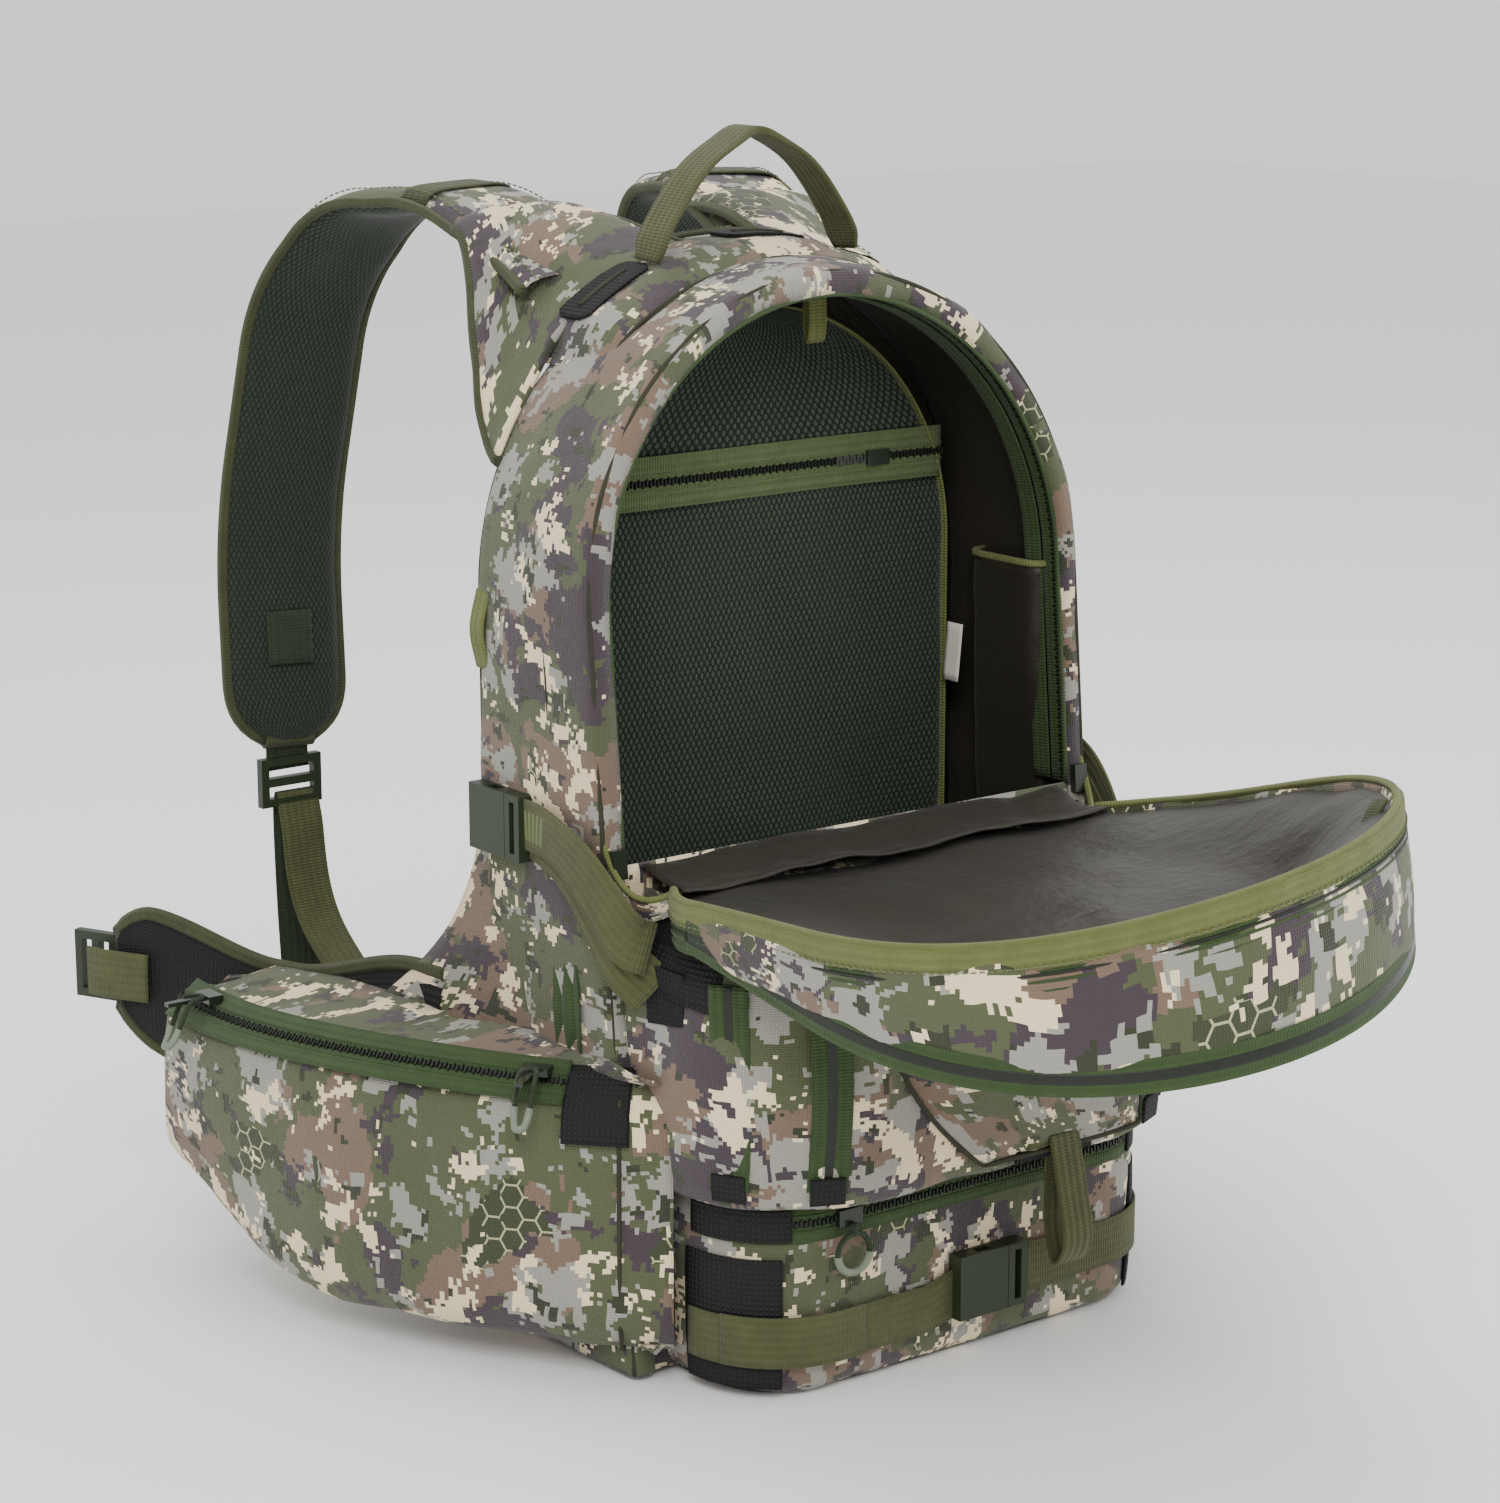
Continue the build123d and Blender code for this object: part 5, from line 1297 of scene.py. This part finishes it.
# ---- side pocket and hip pouch
def three_point(a, b, c, count):
    """Points of the arc through three points in plan."""
    a, b, c = (np.asarray(p, float) for p in (a, b, c))
    d = 2 * (a[0] * (b[1] - c[1]) + b[0] * (c[1] - a[1]) + c[0] * (a[1] - b[1]))
    ux = ((a @ a) * (b[1] - c[1]) + (b @ b) * (c[1] - a[1]) + (c @ c) * (a[1] - b[1])) / d
    uy = ((a @ a) * (c[0] - b[0]) + (b @ b) * (a[0] - c[0]) + (c @ c) * (b[0] - a[0])) / d
    centre = np.array([ux, uy])
    first, middle, last = (math.atan2(*(p - centre)[::-1]) for p in (a, b, c))
    if not min(first, last) <= middle <= max(first, last):
        first, last = first % (2 * math.pi), last % (2 * math.pi)
    radius = np.linalg.norm(a - centre)
    turns = np.linspace(first, last, count)
    return np.stack([centre[0] + radius * np.cos(turns), centre[1] + radius * np.sin(turns)], axis=1)


pouch_low, pouch_high = cad_box("side_pocket_left")
POUCH_FOOT, POUCH_TOP = pouch_low[2], pouch_high[2]
outer_arc = three_point((-140.4, -74), (-214, 20), (-250, 206), 90)
rear_arc = three_point((-250, 206), (-224, 224), (-190, 200), 20)[1:]
pouch_line = resample(np.concatenate([outer_arc, rear_arc]), 5.0)
pouch_out = plan_normals(pouch_line)
zip_line = resample(outer_arc, 4.0)
zip_out = plan_normals(zip_line)


def inner_point(y):
    """Where the pouch meets the pack's side or the belt wing, at a y."""
    if y < 80:
        return np.array([-151.0, y])
    return np.array([-168.0 - 26 * ((y - 80) / 130) ** 1.6, y])


def pouch_row(place, normal):
    """Section of the pouch: over its top, down its outer face and back under it."""
    inner = inner_point(min(place[1], 196))
    foot = POUCH_FOOT + 2 + 46 * smooth((place[1] - 60) / 170) ** 1.4
    head = POUCH_TOP - 13
    top_edge, low_edge = place - normal * 14, place - normal * 18
    row = []
    for t in np.linspace(0, 1, 6)[:-1]:
        row.append((*(inner + (top_edge - inner) * t), POUCH_TOP + 6 * (1 - t) ** 2 + 1.0))
    for out, drop in ((-20, 2.6), (-12.5, -0.4), (-5, -6.5), (-0.2, -13)):
        row.append(off(place, normal, out, POUCH_TOP + drop))
    for t in np.linspace(0.14, 0.86, 12):
        row.append(off(place, normal, 0.4 + 3.0 * math.sin(math.pi * t), head - (head - foot) * t))
    for out, rise in ((-3.5, 6), (-9, 1.5), (-18, 0)):
        row.append(off(place, normal, out, foot + rise))
    for t in np.linspace(0.4, 1, 4):
        row.append((*(low_edge + (inner - low_edge) * t), foot + 1))
    return row


END_TAB = ((-17, 4.2), (-11, 1.8), (-4, -4), (1.4, -11), (3.6, -20), (4.4, -27))
seam_s = np.argmin(abs(pouch_line[:, 1] + 58))
seam_outs = (-1, 1.2, 3.2, 3.8, 3.2, 0.5, -6)
seam_levels = (POUCH_TOP - 6, POUCH_TOP - 16, 110, 80, 50, 22, POUCH_FOOT + 2)
pouch_rows = [pouch_row(p, n) for p, n in zip(pouch_line, pouch_out)]
for label, side in SIDES:
    rows = outward(ruffle(flip(pouch_rows, side), 3.0, 42.0, 40.0 + side), side)
    skin = thicken(grid(f"pouch_skin_{label}", rows, CAMO), 1.0, 0)
    bend_wing(skin, [f"side_pocket_{label}", f"hip_pouch_{label}"])

    # zip over the top, its end tab and the upright seam
    path = np.array([off(p, n, -7.5, POUCH_TOP - 1.6) for p, n in zip(zip_line, zip_out)])
    path = path[path[:, 0] < -170]
    path[:, 2] += 1.6 * np.sin(np.linspace(0, 5, len(path))) + 0.6
    tilted = np.array([(a, b, -0.85) for a, b in zip_out])[-len(path):]
    closure = zip_parts("pouch_zip", flip(path, side), flip(tilted, side), 1.6, 10.5, TAPE)
    closure = join(f"pouch_zip_{label}_tapes", closure)
    bend_wing(closure, [f"pouch_zip_{label}"])

    front = [(p, n) for p, n in zip(zip_line, zip_out) if -178 < p[0] < -153]
    rows = [[off(p, n, out, POUCH_TOP + rise) for out, rise in END_TAB] for p, n in front]
    end_tab = thicken(grid("end_tab", outward(flip(rows, side), side), PATCH), 1.6, 0)
    # The upright seam is a dark tube of painted shade.
    upright = [off(pouch_line[seam_s], pouch_out[seam_s], o, level) for o, level in zip(seam_outs, seam_levels)]
    seam = tube("pouch_seam", flip(curve(upright, 3.0), side), 1.1, SEAM_SHADOW)
    put(join(f"pouch_trim_{label}", [end_tab, seam]), "pack")

# ---- belt wings
wing_low, wing_high = cad_box("hip_wing_left")
wing_line = three_point((-156, 84), (-178, 182), (-228, 290), 60)
wing_out = plan_normals(wing_line)
wing_out *= np.sign(-wing_out[0][0])
outer_rows, inner_rows, edge_top, edge_low = [], [], [], []
for i, (p, n) in enumerate(zip(wing_line, wing_out)):
    t = i / (len(wing_line) - 1)
    tip = max(0.0, (t - 0.9) / 0.1)
    foot = wing_low[2] + (106 - wing_low[2]) * t + 2 + 10 * tip ** 2
    head = wing_high[2] - 1 - 18 * smooth((t - 0.1) / 0.4) + 18 * smooth((t - 0.55) / 0.4) - 10 * tip ** 2
    row_out, row_in = [], []
    for u in np.linspace(-1, 1, 20):
        level = (foot + head) / 2 + u * (head - foot) / 2
        thick = 6.0 * (1 - abs(u) ** 6) ** 0.6 * (1 - 0.5 * tip)
        row_out.append(off(p, n, 6 + thick, level))
        row_in.append(off(p, n, 6 - thick, level))
    outer_rows.append(row_out)
    inner_rows.append(row_in[::-1])
    edge_top.append(off(p, n, 6, head))
    edge_low.append(off(p, n, 6, foot))
flank_rows = []
for t in np.linspace(0, 1, 20):
    spread = (1 - t) ** 2.2
    flank_rows.append([
        (-HALF - 2.2 - spread * 36 * u ** 1.5, 20 + (BACK - 26) * u + spread * 84 * u ** 2, 132 + 122 * t)
        for u in np.linspace(0, 1, 14)
    ])
tip_x, tip_y = wing_line[-1]
lock_x, lock_y, lock_z = cad_middle("belt_lock_left")
hold_turns = ((tip_x - 2, tip_y - 26), (tip_x - 14, tip_y - 4), (lock_x - 9, lock_y - 6))
hold = curve([(x, y, lock_z) for x, y in hold_turns], 3.0)
for label, side in SIDES:
    parts = []
    for key, rows, material in (("outer", outer_rows, PATCH), ("inner", inner_rows, MESH_SOFT)):
        rows = outward(ruffle(flip(rows, side), 1.2, 28.0, 50.0), side)
        parts.append(grid(f"wing_{key}", rows, material))
    wing_edge = flip(np.concatenate([edge_low, edge_top[::-1]]), side)
    parts.append(tube("wing_rim", wing_edge, 4.0, EDGING, across=Z))
    parts.append(ribbon("wing_hold", flip(hold, side), Z, 26, 1.8, WEB))
    wing = join(f"wing_pad_{label}", parts)
    bend_wing(wing, [f"hip_wing_{label}"])

    # cloth that spreads from the pack's side onto the belt
    rows = outward(ruffle(flip(flank_rows, side), 1.4, 26.0, 60.0), side)
    bend_wing(thicken(grid(f"flank_{label}", rows, CAMO), 1.0))

# ---- hard pieces: keep the CAD shapes, softened edges, real finishes
HARD = ["lower_buckle_female", "lower_buckle_male", "mesh_zip_slider", "lower_zip_slider", "main_zip_sliders"]
for stem in (
    "side_buckle_female", "side_buckle_male", "strap_lock", "belt_lock", "pouch_slider_front", "pouch_slider_rear",
):
    HARD += [f"{stem}_{label}" for label, _ in SIDES]
for node in HARD:
    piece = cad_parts[node]
    for slot in piece.material_slots:
        slot.material = METAL if "slider" in node else PLASTIC
    bevel = piece.modifiers.new("Soft edges", "BEVEL")
    bevel.width = 0.0009
    bevel.segments = 3
    bevel.limit_method = "ANGLE"
    piece.data.polygons.foreach_set("use_smooth", [False] * len(piece.data.polygons))

ring_low, ring_high = cad_box("lower_zip_pull")
rx, ry, _ = (ring_low + ring_high) / 2
rr = (ring_high[0] - ring_low[0]) / 2 - 1.5
rz = ring_low[2] + rr + 1.5
turns = np.linspace(0, 2 * math.pi, 49)
round_path = np.array([(rx + rr * math.sin(a), ry, rz + rr * math.cos(a)) for a in turns])
stem = resample([(rx, ry, rz + rr - 1), (rx, ry, ring_high[2] - 1)], 1.5)
ring_parts = [
    tube("ring_a", round_path, 1.5, WEB_DARK, across=Y),
    tube("ring_b", round_path[13:37], 2.0, TUBE, across=Y),
    tube("ring_c", stem, 1.9, WEB_DARK, across=Y),
]
put(join("ring_pull", ring_parts), "lower_pull", ["lower_zip_pull"])

# cord loops on the pouch sliders
CORD_SEATS = (("front", (-180.0, -20.0), (-0.808, -0.59, 0)), ("rear", (-242.7, 176.0), (-1, 0.01, 0)))
for label, side in SIDES:
    for place, seat, direction in CORD_SEATS:
        seat = np.array([*seat, cad_box(f"pouch_slider_{place}_left")[1][2] - 1])
        away = unit(direction)
        along = np.array([away[1], -away[0], 0])
        points = []
        for a in np.linspace(-math.pi, math.pi, 26):
            reach = 15 + 15 * math.cos(a)
            point = seat + away * (4 + reach * 0.72) + along * 4.2 * math.sin(a)
            points.append(point - [0, 0, 22 * smooth(max(0, reach - 10) / 20)])
        loop = tube("cord_a", flip(points, side), 1.3, WEB_DARK)
        sleeve = tube("cord_b", flip(points[8:18], side), 1.9, TUBE)
        put(join(f"cord_pull_{place}_{label}", [loop, sleeve]), f"{place}_slider_{label}")

# ---- floor, light and camera
floor_mesh = bpy.data.meshes.new("floor")
floor_mesh.from_pydata([(-6, -6, 0), (6, -6, 0), (6, 6, 0), (-6, 6, 0)], [], [(0, 1, 2, 3)])
floor = bpy.data.objects.new("floor", floor_mesh)
bpy.context.scene.collection.objects.link(floor)
paper = bpy.data.materials.new("pale_floor")
paper.use_nodes = True
paper_shader = paper.node_tree.nodes["Principled BSDF"]
paper_shader.inputs["Base Color"].default_value = (0.93, 0.93, 0.93, 1)
paper_shader.inputs["Roughness"].default_value = 0.9
floor_mesh.materials.append(paper)

world = bpy.data.worlds.new("studio")
bpy.context.scene.world = world
world.use_nodes = True
world.node_tree.nodes["Background"].inputs[0].default_value = (1.0, 1.0, 1.0, 1)
world.node_tree.nodes["Background"].inputs[1].default_value = 1.1


def lamp(name, place, target, size, power):
    data = bpy.data.lights.new(name, "AREA")
    data.shape = "SQUARE"
    data.size = size
    data.energy = power
    lamp_object = bpy.data.objects.new(name, data)
    bpy.context.scene.collection.objects.link(lamp_object)
    lamp_object.location = place
    lamp_object.rotation_mode = "QUATERNION"
    lamp_object.rotation_quaternion = (Vector(target) - Vector(place)).to_track_quat("-Z", "Y")


lamp("key", (-1.6, -1.9, 2.3), (0, 0, 0.25), 1.3, 52)
lamp("fill", (2.2, -1.5, 1.3), (0, -0.1, 0.25), 1.8, 22)
lamp("top", (0.2, 0.6, 2.4), (0, 0, 0.3), 1.5, 26)

camera_data = bpy.data.cameras.new("camera")
camera_data.sensor_width = 36.0
camera_data.lens = 88.05
camera = bpy.data.objects.new("camera", camera_data)
bpy.context.scene.collection.objects.link(camera)
camera.location = (-1.0974, -1.3794, 0.6822)
camera.rotation_mode = "QUATERNION"
camera.rotation_quaternion = (Vector((-0.0380, 0.0012, 0.2804)) - camera.location).to_track_quat("-Z", "Y")
bpy.context.scene.camera = camera
